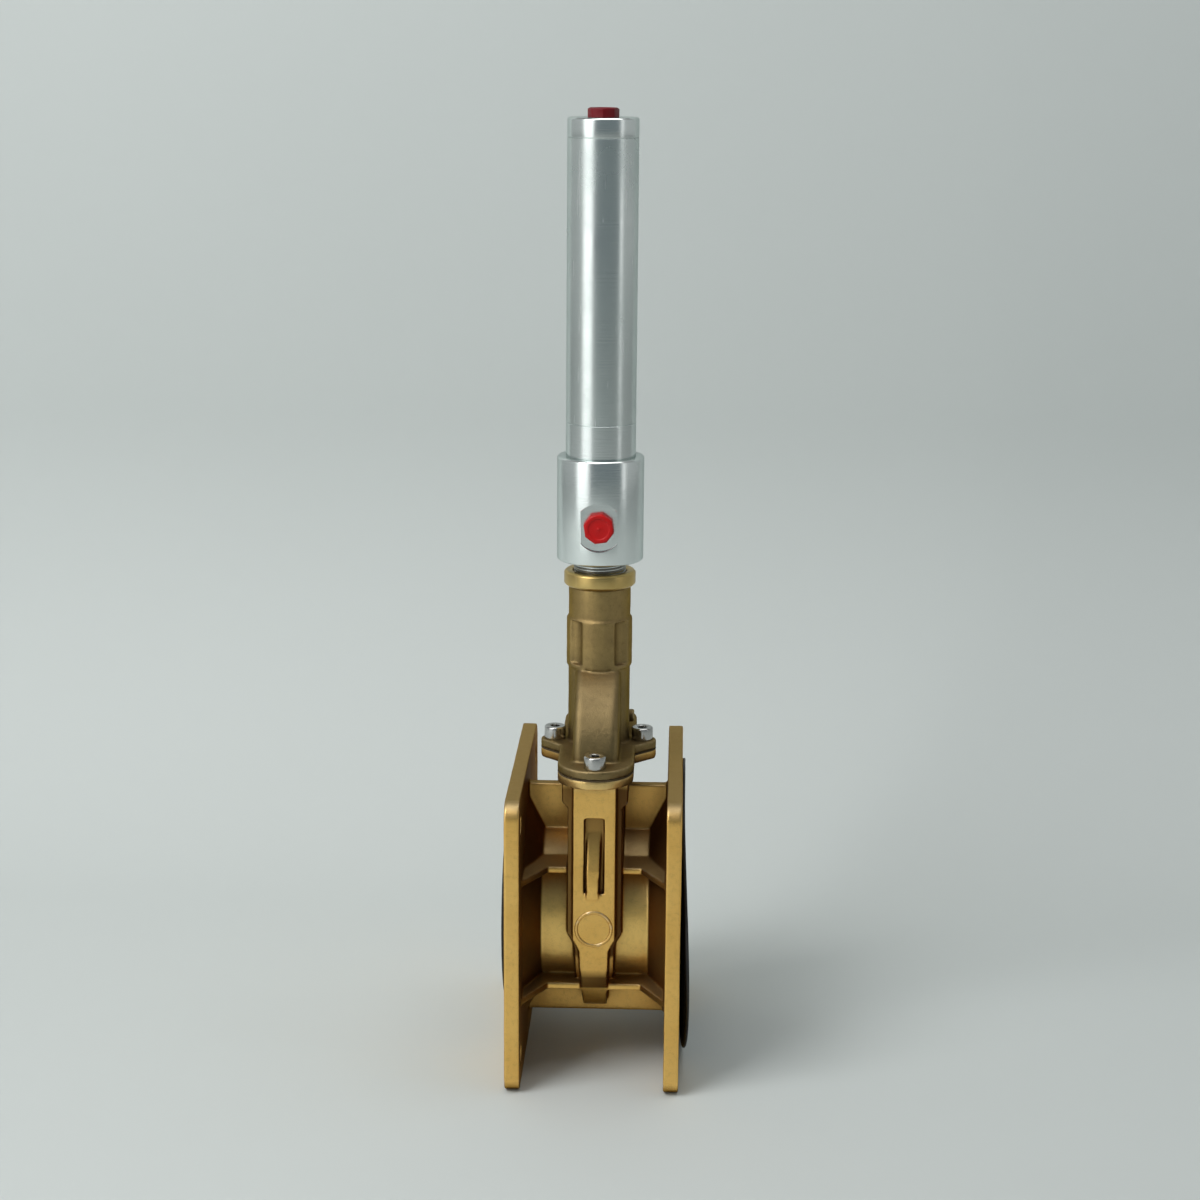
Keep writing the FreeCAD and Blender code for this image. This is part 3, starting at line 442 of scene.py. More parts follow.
finishes = {
    "castBrass": castMetal("castBrass", {
        # several colours below are painted shade: on tops, on flanks, in pockets and in creases; the zones
        # hold a painted shadow, shade, warm bounce light and barrel light
        "dark": rgba(0.82, 0.475, 0.12), "light": rgba(0.98, 0.62, 0.19), "dirtAndShade": rgba(0.20, 0.10, 0.03),
        "topShadeColor": rgba(0.39, 0.30, 0.16), "deep": rgba(0.17, 0.075, 0.022), "topShadeShare": 0.85, "shade": 0.35,
        "reach": 0.018, "flankReach": 0.11, "flankShadeShare": 0.95,
        "tarnish": rgba(0.80, 0.56, 0.22), "tarnishSpan": (0.199, 0.206), "grazing": rgba(0.5, 0.36, 0.2),
        "bare": rgba(0.97, 0.80, 0.46), "pale": rgba(0.98, 0.95, 0.82), "chips": 0.8,
        # these places are in metres, each from where its colour starts to where it is full
        # painted shadow, shade, warm bounce light and barrel light, placed by position
        "zones": {
            "stepWidth": 0.0225, "neckWidth": 0.0305, "neck": (0.168, 0.176), "soft": 0.001,
            "stepFront": (0.066, 0.063), "stepBack": (0.057, 0.058), "stepTop": (0.203, 0.199),
            "stepSides": (-0.01, 0.01, 0.8, 0.97), "shadow": rgba(0.10, 0.045, 0.014),
            "slotSide": (0.0075, 0.007), "slotDepth": (0.0705, 0.065), "slotFoot": (0.128, 0.13),
            "slotShare": 0.85, "pocketShading": rgba(0.30, 0.17, 0.05),
            "plateFace": (0.02, 0.012), "plateFoot": (0.11, 0.12), "plateShare": 0.8,
            "paintedBounceWarmth": rgba(1.0, 0.62, 0.18),
            "axis": 0.1, "barrelSquare": (0.0030, 0.00292), "barrelShare": 0.7,
            "paintedBarrelLight": rgba(1.0, 0.69, 0.23)},
        "blotch": 26.0, "contrast": 0.45, "edgeLow": 0.53, "edgeHigh": 0.62, "rub": 0.45, "creaseShade": 0.7,
        "pitted": 0.18, "grit": 1500.0, "lump": 300.0, "roughLow": 0.25, "roughHigh": 0.36,
        "metallic": 0.93, "bump": 0.35, "depth": 0.0006}),
    "castBronze": castMetal("castBronze", {
        # several colours below are painted shade: on tops, on flanks, in pockets and in creases
        "dark": rgba(0.30, 0.21, 0.09), "light": rgba(0.46, 0.32, 0.125), "dirtAndShade": rgba(0.11, 0.08, 0.04),
        "tarnish": rgba(0.26, 0.19, 0.085), "tarnishSpan": (0.285, 0.255),
        "topShadeColor": rgba(0.27, 0.20, 0.10), "deep": rgba(0.12, 0.07, 0.025), "topShadeShare": 0.7, "shade": 0.5,
        "reach": 0.018, "flankReach": 0.02, "flankShadeShare": 0.4, "grazing": rgba(0.5, 0.42, 0.28),
        "bare": rgba(0.70, 0.52, 0.26), "pale": rgba(0.8, 0.68, 0.45), "chips": 0.5,
        "blotch": 34.0, "contrast": 0.7, "edgeLow": 0.52, "edgeHigh": 0.60, "rub": 0.6, "creaseShade": 0.6,
        "pitted": 0.3, "grit": 1500.0, "lump": 240.0, "roughLow": 0.36, "roughHigh": 0.5,
        "metallic": 1.0, "bump": 0.5, "depth": 0.0006}),
    "machinedBrass": turnedMetal("machinedBrass", {
        "dark": rgba(0.55, 0.38, 0.13), "light": rgba(0.68, 0.5, 0.2), "scratchColor": rgba(0.8, 0.65, 0.35),
        "blotch": 60.0, "contrast": 0.4, "pitch": 2600.0, "scratches": 0.3, "roughLow": 0.28,
        "roughHigh": 0.36, "bump": 0.2, "depth": 0.0003}),
    "turnedAluminium": turnedMetal("turnedAluminium", {
        "dark": rgba(0.74, 0.79, 0.78), "light": rgba(0.88, 0.92, 0.90),
        "scratchColor": rgba(0.95, 0.97, 0.96),
        "blotch": 30.0, "contrast": 0.4, "pitch": 3000.0, "scratches": 0.2, "roughLow": 0.16,
        "roughHigh": 0.25, "bump": 0.12, "depth": 0.0003, "anisotropic": 0.5,
        "grazing": rgba(0.62, 0.66, 0.65)}),
    "drawnAluminium": turnedMetal("drawnAluminium", {
        "dark": rgba(0.70, 0.76, 0.74), "light": rgba(0.86, 0.90, 0.88),
        "scratchColor": rgba(0.94, 0.96, 0.95),
        "blotch": 22.0, "contrast": 0.5, "pitch": 2200.0, "scratches": 0.35, "roughLow": 0.18,
        "roughHigh": 0.3, "bump": 0.05, "depth": 0.0003, "anisotropic": 0.5,
        "grazing": rgba(0.62, 0.66, 0.65)}),
    "threadSteel": turnedMetal("threadSteel", {
        "dark": rgba(0.28, 0.27, 0.25), "light": rgba(0.42, 0.41, 0.38), "scratchColor": rgba(0.6, 0.6, 0.58),
        "blotch": 60.0, "contrast": 0.5, "pitch": 2600.0, "scratches": 0.2, "roughLow": 0.3,
        "roughHigh": 0.42, "bump": 0.1, "depth": 0.0002}),
    "platedScrew": turnedMetal("platedScrew", {
        "dark": rgba(0.44, 0.435, 0.42), "light": rgba(0.56, 0.555, 0.54),
        "scratchColor": rgba(0.7, 0.7, 0.7),
        # painted shade in the socket
        "deep": rgba(0.04, 0.035, 0.03), "reach": 0.006, "blotch": 120.0, "contrast": 0.4,
        "pitch": 3000.0, "scratches": 0.2, "roughLow": 0.17, "roughHigh": 0.25, "bump": 0.06,
        "depth": 0.0002}),
    "stainlessBlade": turnedMetal("stainlessBlade", {
        "dark": rgba(0.52, 0.52, 0.51), "light": rgba(0.64, 0.64, 0.63), "scratchColor": rgba(0.8, 0.8, 0.8),
        "blotch": 40.0, "contrast": 0.5, "pitch": 1800.0, "scratches": 0.4, "roughLow": 0.25,
        "roughHigh": 0.38, "bump": 0.15, "depth": 0.0003}),
    "chromedRod": turnedMetal("chromedRod", {
        "dark": rgba(0.70, 0.70, 0.71), "light": rgba(0.78, 0.78, 0.79),
        "scratchColor": rgba(0.85, 0.85, 0.86),
        "blotch": 50.0, "contrast": 0.3, "pitch": 3000.0, "scratches": 0.1, "roughLow": 0.06,
        "roughHigh": 0.1, "bump": 0.03, "depth": 0.0002}),
    "machinedSteel": turnedMetal("machinedSteel", {
        "dark": rgba(0.38, 0.38, 0.39), "light": rgba(0.5, 0.5, 0.51), "scratchColor": rgba(0.7, 0.7, 0.7),
        "blotch": 60.0, "contrast": 0.4, "pitch": 2200.0, "scratches": 0.3, "roughLow": 0.28,
        "roughHigh": 0.38, "bump": 0.15, "depth": 0.0003}),
    "bronzeBush": turnedMetal("bronzeBush", {
        "dark": rgba(0.5, 0.33, 0.14), "light": rgba(0.62, 0.43, 0.2), "scratchColor": rgba(0.8, 0.62, 0.35),
        "blotch": 60.0, "contrast": 0.4, "pitch": 2200.0, "scratches": 0.2, "roughLow": 0.3,
        "roughHigh": 0.4, "bump": 0.12, "depth": 0.0003}),
    "blackRubber": mouldedMaterial("blackRubber", {
        "dark": rgba(0.010, 0.010, 0.011), "light": rgba(0.026, 0.025, 0.025),
        "blotch": 45.0, "contrast": 0.5, "grit": 1800.0, "lump": 240.0, "roughLow": 0.5,
        "roughHigh": 0.7, "bump": 0.3, "depth": 0.0004, "shine": 0.3}),
    "sealingSheet": mouldedMaterial("sealingSheet", {
        "dark": rgba(0.07, 0.05, 0.028), "light": rgba(0.11, 0.08, 0.042), "blotch": 60.0, "contrast": 0.5,
        "grit": 1600.0, "lump": 300.0, "roughLow": 0.6, "roughHigh": 0.8, "bump": 0.4, "depth": 0.0004,
        "shine": 0.12}),
    "sealPolymer": mouldedMaterial("sealPolymer", {
        "dark": rgba(0.030, 0.030, 0.034), "light": rgba(0.055, 0.055, 0.060),
        "blotch": 60.0, "contrast": 0.4, "grit": 1800.0, "lump": 300.0, "roughLow": 0.35,
        "roughHigh": 0.5, "bump": 0.2, "depth": 0.0003, "shine": 0.4}),
    "redPlastic": mouldedMaterial("redPlastic", {
        "dark": rgba(0.46, 0.005, 0.006), "light": rgba(0.56, 0.009, 0.009), "blotch": 90.0, "contrast": 0.5,
        "grit": 1500.0, "lump": 400.0, "roughLow": 0.36, "roughHigh": 0.5, "bump": 0.12, "depth": 0.0003,
        "shine": 0.25}),
    # the red plastic again, darker, as painted shade on the top plug that faces up
    "redPlasticInShade": mouldedMaterial("redPlasticInShade", {
        "dark": rgba(0.13, 0.003, 0.008), "light": rgba(0.18, 0.005, 0.011), "blotch": 90.0, "contrast": 0.5,
        "grit": 1500.0, "lump": 400.0, "roughLow": 0.36, "roughHigh": 0.5, "bump": 0.12, "depth": 0.0003,
        "shine": 0.25}),
}
slotFinish = {
    "cast_brass_body": "castBrass",
    "cast_bronze_bonnet": "castBronze",
    "black_rubber": "blackRubber",
    "dark_sealing_sheet": "sealingSheet",
    "plated_screw": "platedScrew",
    "stainless_blade": "stainlessBlade",
    "chromed_rod": "chromedRod",
    "seal_polymer": "sealPolymer",
    "bronze_bush": "bronzeBush",
    "turned_aluminium": "turnedAluminium",
    "machined_steel": "machinedSteel",
    "red_plastic": "redPlastic",
}


for entry in frame["record"]["subparts"]:
    node = frame["nodes"][entry["node"]]
    for holder in node.material_slots:
        holder.material = finishes[slotFinish[entry["material_slot"]]]
print("materials made:", len(finishes))


def applyAll(piece):
    makeActive(piece)
    for modifier in list(piece.modifiers):
        bpy.ops.object.modifier_apply(modifier=modifier.name)


def smoothByAngle(piece, degrees):
    makeActive(piece)
    bpy.ops.object.shade_smooth_by_angle(angle=math.radians(degrees))


def finishPiece(piece, body, slot, finish, *nodes):
    piece.data.materials.clear()
    piece.data.materials.append(finishes[finish])
    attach(piece, body)
    if nodes:
        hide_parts(*nodes)


roundEdge = {"segments": 2, "degrees": 30.0}


def roundEdges(piece, width):
    bevel = piece.modifiers.new("edges", "BEVEL")
    bevel.width = width * mm
    bevel.segments = roundEdge["segments"]
    bevel.limit_method = "ANGLE"
    bevel.angle_limit = math.radians(roundEdge["degrees"])
    bevel.use_clamp_overlap = False
    applyAll(piece)


turning = {"axisRadius": 0.02, "sameRadius": 1e-6, "weld": 5e-5}


def turnPiece(name, profile, steps):
    # a circle extruded and scaled round a closed list of (radius, height), both in mm
    points = [(max(radius, turning["axisRadius"]), height) for radius, height in profile]
    points.append(points[0])
    radius, height = points[0]
    deselectAll()
    bpy.ops.mesh.primitive_circle_add(vertices=steps, radius=radius * mm, location=(0, 0, height * mm))
    piece = bpy.context.object
    piece.name = name
    bpy.ops.object.transform_apply(location=True)
    bpy.ops.object.mode_set(mode="EDIT")
    bpy.ops.mesh.select_all(action="SELECT")
    for nextRadius, nextHeight in points[1:]:
        bpy.ops.mesh.extrude_edges_move(
            TRANSFORM_OT_translate={"value": (0, 0, (nextHeight - height) * mm)})
        if abs(nextRadius - radius) > turning["sameRadius"]:
            scale = nextRadius / radius
            bpy.ops.transform.resize(value=(scale, scale, 1), center_override=(0, 0, nextHeight * mm))
        radius, height = nextRadius, nextHeight
    bpy.ops.mesh.select_all(action="SELECT")
    bpy.ops.mesh.remove_doubles(threshold=turning["weld"])
    bpy.ops.mesh.normals_make_consistent(inside=False)
    bpy.ops.object.mode_set(mode="OBJECT")
    return piece


def settle(piece):
    makeActive(piece)
    bpy.ops.object.transform_apply(location=True, rotation=True, scale=True)


def cutWith(piece, cutter, way="DIFFERENCE"):
    boolean = piece.modifiers.new("cut", "BOOLEAN")
    boolean.operation = way
    boolean.solver = "EXACT"
    boolean.object = cutter
    applyAll(piece)
    bpy.data.objects.remove(cutter)


def makeStage(plan):
    deselectAll()
    bpy.ops.mesh.primitive_plane_add(size=1.0)
    paper = bpy.context.object
    paper.name = "paperSweep"
    depth = plan["bend"] - plan["front"]
    paper.scale = (2 * plan["halfWidth"], depth, 1)
    paper.location = (0, plan["front"] + depth / 2, 0)
    settle(paper)
    bpy.ops.object.mode_set(mode="EDIT")
    bpy.ops.mesh.select_all(action="DESELECT")
    bpy.ops.object.mode_set(mode="OBJECT")
    for vertex in paper.data.vertices:
        vertex.select = vertex.co.y > plan["bend"] - plan["near"]
    for edge in paper.data.edges:
        edge.select = all(paper.data.vertices[i].select for i in edge.vertices)
    bpy.ops.object.mode_set(mode="EDIT")
    bpy.ops.mesh.select_mode(type="EDGE")
    curve, steps = plan["curve"], plan["bendSteps"]
    for i in range(steps):
        a0, a1 = (math.pi / 2 * k / steps for k in (i, i + 1))
        step = (0, curve * (math.sin(a1) - math.sin(a0)), curve * (math.cos(a0) - math.cos(a1)))
        bpy.ops.mesh.extrude_edges_move(TRANSFORM_OT_translate={"value": step})
    bpy.ops.mesh.extrude_edges_move(TRANSFORM_OT_translate={"value": (0, 0, plan["wallTop"] - curve)})
    bpy.ops.mesh.select_all(action="SELECT")
    bpy.ops.mesh.normals_make_consistent(inside=True)   # up and towards the camera
    bpy.ops.object.mode_set(mode="OBJECT")
    bpy.ops.object.shade_smooth()
    deselectAll()
    bpy.ops.mesh.primitive_plane_add(size=plan["boardSize"], location=(0, 0, plan["boardHeight"]))
    board = bpy.context.object
    board.name = "floorBoard"
    settle(board)
    material = paperMaterial(plan)
    for piece in (paper, board):
        piece.data.materials.append(material)


def paperMaterial(plan):
    material, tree, shader = startMaterial("palePaper")
    dark = rgba(*(part * plan["shade"] for part in plan["color"]))
    color = blendColor(tree, addTone(tree, plan), dark, rgba(*plan["color"]))
    tree.links.new(color, shader.inputs["Base Color"])
    shader.inputs["Roughness"].default_value = plan["roughness"]
    # a camera behind the paper looks through it
    behind = math2(tree, "MULTIPLY", addNode(tree, "NewGeometry").outputs["Backfacing"],
                   addNode(tree, "LightPath").outputs["Is Camera Ray"])
    mixed = addNode(tree, "MixShader")
    tree.links.new(behind, mixed.inputs[0])
    tree.links.new(shader.outputs[0], mixed.inputs[1])
    tree.links.new(addNode(tree, "BsdfTransparent").outputs[0], mixed.inputs[2])
    tree.links.new(mixed.outputs[0], tree.nodes["Material Output"].inputs["Surface"])
    return material


makeStage(stagePlan)
print("stage made")

castings = {
    "valve_body": {"name": "valveCasting", "voxel": 0.85, "smooth": 5, "faces": 190000, "wave": 0.25,
                   "slot": "cast_brass_body", "finish": "castBrass",
                   # the slot's lug: each side at x shifts by these at its foot and at its top
                   "lug": {"front": -61.5, "sides": [(-5.4, 0.35, 0.1), (1.8, 1.2, 3.0)],
                           "span": (130.0, 182.0), "reach": (-0.1, 1.1), "floor": -62.1, "floorRise": 3.2,
                           "halfWidth": 6.8, "near": 0.1, "nearFloor": 0.05},
                   "beads": {"radius": 3.4, "length": 62.0, "y": 35.6, "z": 62.0, "steps": 32}},
    "bonnet": {"name": "bonnetCasting", "voxel": 0.8, "smooth": 6, "faces": 150000, "wave": 0.3,
               "slot": "cast_bronze_bonnet", "finish": "castBronze", "cutAbove": 323.6},
}
castSkin = {"merge": 1e-5, "soften": 0.5, "waveSize": 0.012, "middle": 0.5}


def shiftLug(piece, lug):
    foot, head = lug["span"]
    for vertex in piece.data.vertices:
        x, y, z = vertex.co / mm
        share = (z - foot) / (head - foot)
        if not lug["reach"][0] < share < lug["reach"][1] or abs(x) > lug["halfWidth"]:
            continue
        if abs(y - lug["floor"]) < lug["nearFloor"]:
            vertex.co.y -= lug["floorRise"] * mm
        for side, low, high in lug["sides"]:
            if abs(x - side) < lug["near"] and y < lug["front"]:
                vertex.co.x += (low + (high - low) * share) * mm


def addBeads(bead):
    # a round bead where the barrel meets its lower ribs, front and back
    for side in (-1, 1):
        bpy.ops.mesh.primitive_cylinder_add(
            vertices=bead["steps"], radius=bead["radius"] * mm, depth=bead["length"] * mm,
            location=(0, side * bead["y"] * mm, bead["z"] * mm), rotation=(0, math.pi / 2, 0))


def makeCasting(node, plan):
    piece = bpy.data.objects.new(plan["name"], frame["nodes"][node].data.copy())
    bpy.context.scene.collection.objects.link(piece)
    makeActive(piece)
    bpy.ops.object.mode_set(mode="EDIT")
    bpy.ops.mesh.select_all(action="SELECT")
    bpy.ops.mesh.remove_doubles(threshold=castSkin["merge"])
    if "lug" in plan:
        bpy.ops.object.mode_set(mode="OBJECT")
        shiftLug(piece, plan["lug"])
        bpy.ops.object.mode_set(mode="EDIT")
    if "beads" in plan:
        addBeads(plan["beads"])
    if "cutAbove" in plan:
        bpy.ops.mesh.bisect(plane_co=(0, 0, plan["cutAbove"] * mm), plane_no=(0, 0, 1), use_fill=True,
                            clear_outer=True)
    bpy.ops.object.mode_set(mode="OBJECT")
    remesh = piece.modifiers.new("skin", "REMESH")
    remesh.mode = "VOXEL"
    remesh.voxel_size = plan["voxel"] * mm
    remesh.use_smooth_shade = True
    soften = piece.modifiers.new("soften", "SMOOTH")
    soften.factor = castSkin["soften"]
    soften.iterations = plan["smooth"]
    clouds = bpy.data.textures.new(plan["name"] + "Wave", "CLOUDS")
    clouds.noise_scale = castSkin["waveSize"]
    wave = piece.modifiers.new("wave", "DISPLACE")
    wave.texture = clouds
    wave.texture_coords = "LOCAL"
    wave.strength = plan["wave"] * mm
    wave.mid_level = castSkin["middle"]
    applyAll(piece)
    fewer = piece.modifiers.new("fewer", "DECIMATE")
    fewer.ratio = min(1.0, plan["faces"] / (2 * len(piece.data.polygons)))
    applyAll(piece)
    makeActive(piece)
    bpy.ops.object.shade_smooth()
    print(plan["name"], len(piece.data.polygons), "faces")
    finishPiece(piece, "valve", plan["slot"], plan["finish"], node)


for node, plan in castings.items():
    makeCasting(node, plan)

print("castings made")

turnedPieces = {
    "cylinderTube": {
        "nodes": ["cylinder_tube"], "slot": "turned_aluminium", "finish": "drawnAluminium", "edge": 0.0,
        "profile": [(20.0, 433.5), (22.75, 433.5), (23.1, 433.85), (23.1, 617.05), (22.75, 617.4),
                    (20.0, 617.4)]},
    "lockRing": {
        "nodes": ["lock_ring"], "slot": "turned_aluminium", "finish": "turnedAluminium", "edge": 0.0,
        "profile": [(20.0, 411.0), (22.75, 411.0), (23.1, 411.35), (23.1, 433.15), (22.75, 433.5),
                    (20.0, 433.5)]},
    "cylinderCap": {
        "nodes": ["cylinder_cap"], "slot": "turned_aluminium", "finish": "turnedAluminium", "edge": 0.15,
        "profile": [(8.3, 601.4), (19.9, 601.4), (19.9, 606.4), (16.9, 606.4), (16.9, 609.4), (19.9, 609.4),
                    (19.9, 617.4), (22.75, 617.4), (23.1, 617.75), (23.1, 629.0), (22.1, 630.0),
                    (8.3, 630.0)]},
    "bonnetRim": {
        "nodes": [], "slot": "cast_bronze_bonnet", "finish": "machinedBrass", "edge": 0.3,
        "profile": [(17.65, 323.6), (20.6, 323.6), (22.6, 324.0), (23.9, 325.4), (23.9, 332.6), (22.5, 334.0),
                    (18.6, 334.0), (17.65, 333.0)]},
    "cylinderHead": {
        "nodes": ["cylinder_head"], "slot": "turned_aluminium", "finish": "turnedAluminium", "edge": 0.2,
        "profile": [(14.05, 312.0), (16.6, 312.0), (16.6, 341.4), (27.8, 341.4), (28.8, 342.4), (28.8, 410.0),
                    (27.8, 411.0), (19.9, 411.0), (19.9, 442.5), (16.9, 442.5), (16.9, 445.5), (19.9, 445.5),
                    (19.9, 450.5), (14.55, 450.5), (14.55, 340.0), (13.05, 340.0), (13.05, 320.0),
                    (10.4, 320.0), (10.4, 317.0), (14.05, 317.0)]},
}
turnedCut = {"steps": 160, "smooth": 20}
sidePort = {"height": 367.3, "radius": 8.3, "end": -14.5, "steps": 64, "faceRadius": 16.0, "face": 26.1,
            "faceSteps": 96, "outside": -40.0}


def barAlongY(name, radius, front, back, height, steps):
    deselectAll()
    bpy.ops.mesh.primitive_cylinder_add(vertices=steps, radius=radius * mm, depth=(back - front) * mm,
                                        rotation=(math.radians(90), 0, 0),
                                        location=(0, (front + back) / 2 * mm, height * mm))
    bar = bpy.context.object
    bar.name = name
    settle(bar)
    return bar


def makeTurned(name, plan):
    piece = turnPiece(name, plan["profile"], turnedCut["steps"])
    if name == "cylinderHead":
        port = sidePort
        for radius, end, steps in ((port["faceRadius"], -port["face"], port["faceSteps"]),
                                   (port["radius"], port["end"], port["steps"])):
            cutWith(piece, barAlongY("portCut", radius, port["outside"], end, port["height"], steps))
    if plan["edge"]:
        roundEdges(piece, plan["edge"])
    smoothByAngle(piece, turnedCut["smooth"])
    finishPiece(piece, "valve", plan["slot"], plan["finish"], *plan["nodes"])


for name, plan in turnedPieces.items():
    makeTurned(name, plan)

thread = {"inner": 16.3, "outer": 17.5, "pitch": 2.0, "rootGap": 0.05, "crest": (0.9, 1.1), "start": 330.5,
          "turns": 6, "steps": 96, "smooth": 30}


def makeThread(plan):
    deselectAll()
    bpy.ops.mesh.primitive_plane_add(size=1.0, rotation=(math.radians(90), 0, 0))
    piece = bpy.context.object
    piece.name = "headThread"
    settle(piece)
    inner, outer, gap = plan["inner"], plan["outer"], plan["rootGap"]
    corners = [(inner, gap), *((outer, z) for z in plan["crest"]), (inner, plan["pitch"] - gap)]
    for vertex, (x, z) in zip((piece.data.vertices[i] for i in piece.data.polygons[0].vertices), corners):
        vertex.co = (x * mm, 0, (plan["start"] + z) * mm)
    bpy.ops.object.mode_set(mode="EDIT")
    bpy.ops.mesh.select_all(action="SELECT")
    bpy.ops.mesh.delete(type="ONLY_FACE")
    bpy.ops.object.mode_set(mode="OBJECT")
    screw = piece.modifiers.new("helix", "SCREW")
    screw.axis = "Z"
    screw.screw_offset = plan["pitch"] * mm
    screw.iterations = plan["turns"]
    screw.steps = screw.render_steps = plan["steps"]
    applyAll(piece)
    bpy.ops.object.mode_set(mode="EDIT")
    bpy.ops.mesh.select_all(action="SELECT")
    bpy.ops.mesh.fill_holes(sides=4)
    bpy.ops.mesh.normals_make_consistent(inside=False)
    bpy.ops.object.mode_set(mode="OBJECT")
    smoothByAngle(piece, plan["smooth"])
    finishPiece(piece, "valve", "turned_aluminium", "threadSteel")


makeThread(thread)
print("turned pieces made")

plug = {
    "sides": 8, "radius": 10.2, "height": 6.0, "edge": 0.25, "turn": 32.0, "topFace": 630.0,
    "cone": [(0, -1.0), (12.2, -1.0), (12.2, 3.53), (8.9, 6.0), (7.0, 6.0), (6.6, 5.55), (1.0, 5.55),
             (0.8, 5.8), (0, 5.85)],
    "shank": [(0, -9.0), (8.2, -9.0), (8.2, 1.0), (0, 1.0)],
    "coneSteps": 96, "shankSteps": 64, "smooth": 30}


def makePlug(name, node, toFront):
    # an eight-sided head cut by a cone, dished, on a round shank
    deselectAll()
    bpy.ops.mesh.primitive_cylinder_add(vertices=plug["sides"], radius=plug["radius"] * mm,
                                        depth=plug["height"] * mm, location=(0, 0, plug["height"] / 2 * mm),
                                        rotation=(0, 0, math.radians(90)))
    head = bpy.context.object
    settle(head)
    cutWith(head, turnPiece("plugCone", plug["cone"], plug["coneSteps"]), "INTERSECT")
    cutWith(head, turnPiece("plugShank", plug["shank"], plug["shankSteps"]), "UNION")
    roundEdges(head, plug["edge"])
    head.name = name
    if toFront:
        head.rotation_euler = (Matrix.Rotation(math.radians(90), 3, "X")
                               @ Matrix.Rotation(math.radians(plug["turn"]), 3, "Z")).to_euler()
        head.location = (0, -sidePort["face"] * mm, sidePort["height"] * mm)
    else:
        head.location = (0, 0, plug["topFace"] * mm)
    settle(head)
    smoothByAngle(head, plug["smooth"])
    # the top plug gets the darker, painted-shade copy of the red plastic
    finishPiece(head, "valve", "red_plastic", "redPlastic" if toFront else "redPlasticInShade", node)


makePlug("sidePlug", "side_port_plug", True)
makePlug("topPlug", "top_port_plug", False)
print("plugs made")

coverScrew = {
    "profile": [(0, 204.65), (3.5, 204.65), (4.0, 205.25), (4.0, 216.6), (6.9, 216.6), (7.2, 216.9),
                (7.2, 224.3), (6.5, 225.0), (3.9, 225.0), (3.55, 224.7), (0, 224.7)],
    "steps": 72, "flats": 6.0, "socketFoot": 220.5, "socketLength": 10.0, "edge": 0.12, "smooth": 28,
    # the place of each, how far it is turned, and the node that one of them stands for
    "screws": {"Right": ((29.5, 0), 12, []), "Left": ((-29.5, 0), 40, []), "Back": ((0, 69.7), 5, []),
               "Front": ((0, -69.7), 22, ["bonnet_screws"])},
}


def makeScrews(plan):
    for side, ((x, y), turn, nodes) in plan["screws"].items():
        screw = turnPiece("coverScrew" + side, plan["profile"], plan["steps"])
        deselectAll()
        length = plan["socketLength"]
        bpy.ops.mesh.primitive_cylinder_add(vertices=6, radius=plan["flats"] / math.sqrt(3) * mm,
                                            depth=length * mm,
                                            location=(0, 0, (plan["socketFoot"] + length / 2) * mm))
        socket = bpy.context.object
        settle(socket)
        cutWith(screw, socket)
        roundEdges(screw, plan["edge"])
        screw.rotation_euler = (0, 0, math.radians(turn))
        screw.location = (x * mm, y * mm, 0)
        settle(screw)
        smoothByAngle(screw, plan["smooth"])
        finishPiece(screw, "valve", "plated_screw", "platedScrew", *nodes)


makeScrews(coverScrew)
print("screws made")

gasketCut = {"rings": 6, "rim": 0.5, "steps": 144, "edge": 0.25, "smooth": 35}
gaskets = {
    "gasketRight": {"node": "flange_gasket_right", "inner": 49.0, "outer": 99.0, "start": 57.4, "end": 59.2,
                    "bulge": 4.8, "bulgeAngle": -155.0},
    "gasketLeft": {"node": "flange_gasket_left", "inner": 49.0, "outer": 68.0, "start": -61.4, "end": -57.4,
                   "bulge": 0.0, "bulgeAngle": 0.0},
}


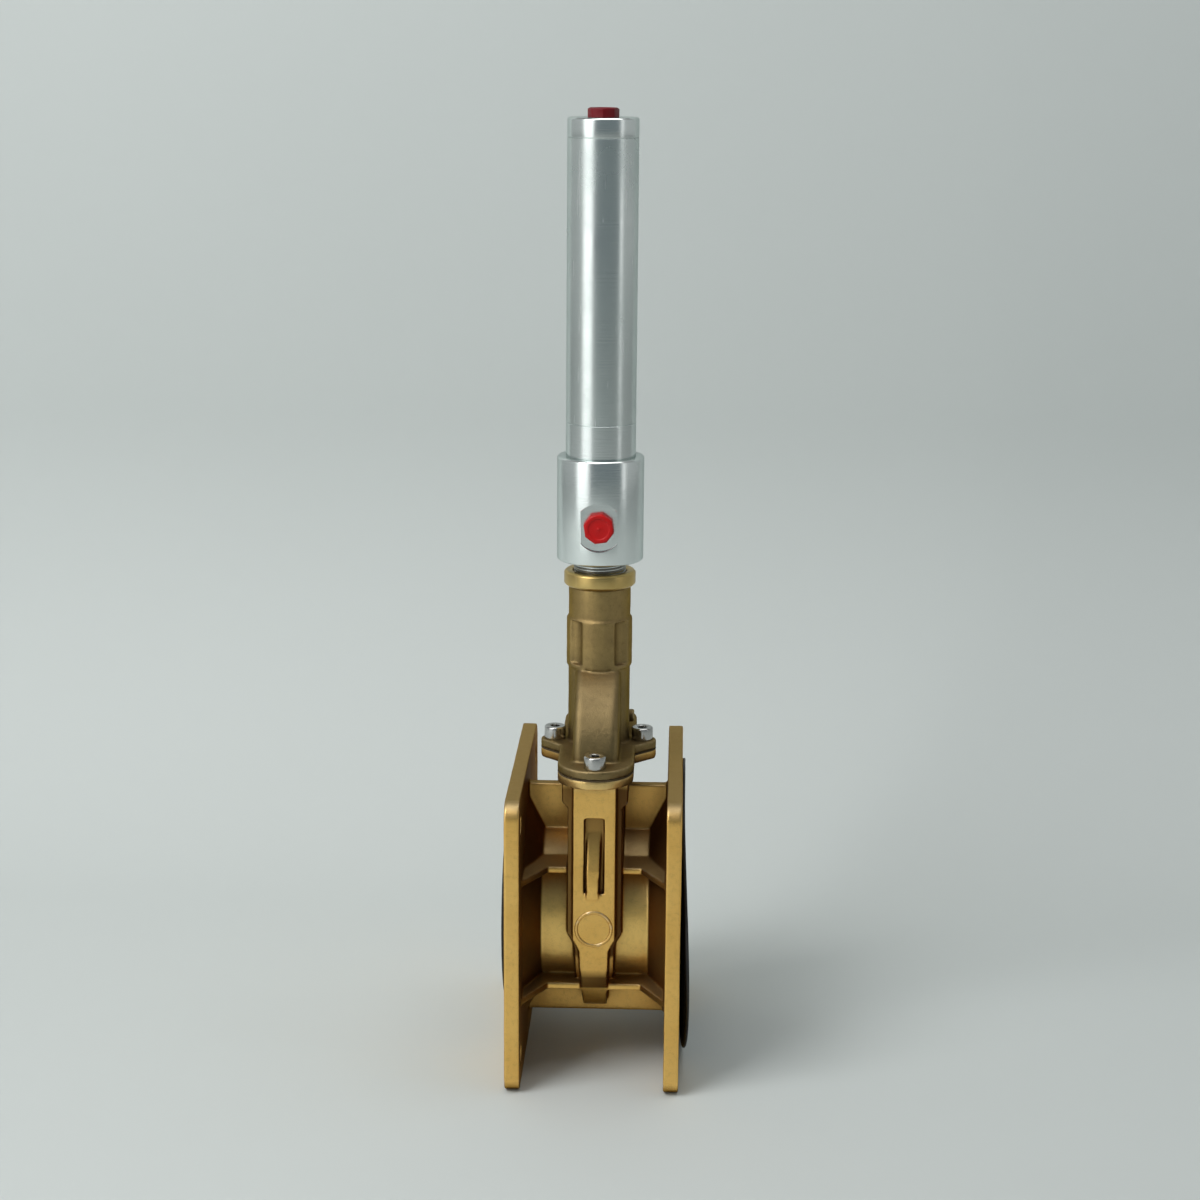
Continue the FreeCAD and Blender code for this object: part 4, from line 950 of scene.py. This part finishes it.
def makeGasket(name, plan):
    inner, outer, low, high = plan["inner"], plan["outer"], plan["start"], plan["end"]
    count, rim = gasketCut["rings"], gasketCut["rim"]
    rings = [inner + (outer - inner) * k / count for k in range(count)]
    profile = [(r, low) for r in rings] + [(outer - rim, low), (outer, low + rim)]
    profile += [(outer, high - rim), (outer - rim, high)] + [(r, high) for r in reversed(rings)]
    piece = turnPiece(name, profile, gasketCut["steps"])
    piece.rotation_euler = (0, math.radians(90), 0)
    piece.location = (0, 0, boreAxis * mm)
    settle(piece)
    # the loose sheet hangs a little away from the flange on its lower front part
    for vertex in piece.data.vertices:
        y, z = vertex.co.y / mm, vertex.co.z / mm - boreAxis
        reach = max(0.0, (math.hypot(y, z) - inner) / (outer - inner))
        away = math.cos(math.atan2(z, y) - math.radians(plan["bulgeAngle"]))
        vertex.co.x += plan["bulge"] * mm * reach ** 2 * max(0.0, away) ** 2
    roundEdges(piece, gasketCut["edge"])
    smoothByAngle(piece, gasketCut["smooth"])
    finishPiece(piece, "valve", "black_rubber", "blackRubber", plan["node"])


for name, plan in gaskets.items():
    makeGasket(name, plan)

noseRing = {"radius": 11.6, "wire": 1.3, "steps": 72, "wireSteps": 10, "height": 105.6, "nose": 70.6,
            "sink": 0.5}


def makeNoseRing(plan):
    deselectAll()
    bpy.ops.mesh.primitive_torus_add(major_radius=plan["radius"] * mm, minor_radius=plan["wire"] * mm,
                                     major_segments=plan["steps"], minor_segments=plan["wireSteps"],
                                     rotation=(math.radians(90), 0, 0),
                                     location=(0, 0, plan["height"] * mm))
    ring = bpy.context.object
    ring.name = "noseRing"
    settle(ring)
    for vertex in ring.data.vertices:
        # the nose is straight above the bore's axis and round below it
        below = min(0.0, vertex.co.z / mm - boreAxis)
        vertex.co.y -= (math.sqrt(plan["nose"] ** 2 - below ** 2) - plan["sink"]) * mm
    bpy.ops.object.shade_smooth()
    finishPiece(ring, "valve", "cast_brass_body", "castBrass")


makeNoseRing(noseRing)
print("gaskets and nose ring made")
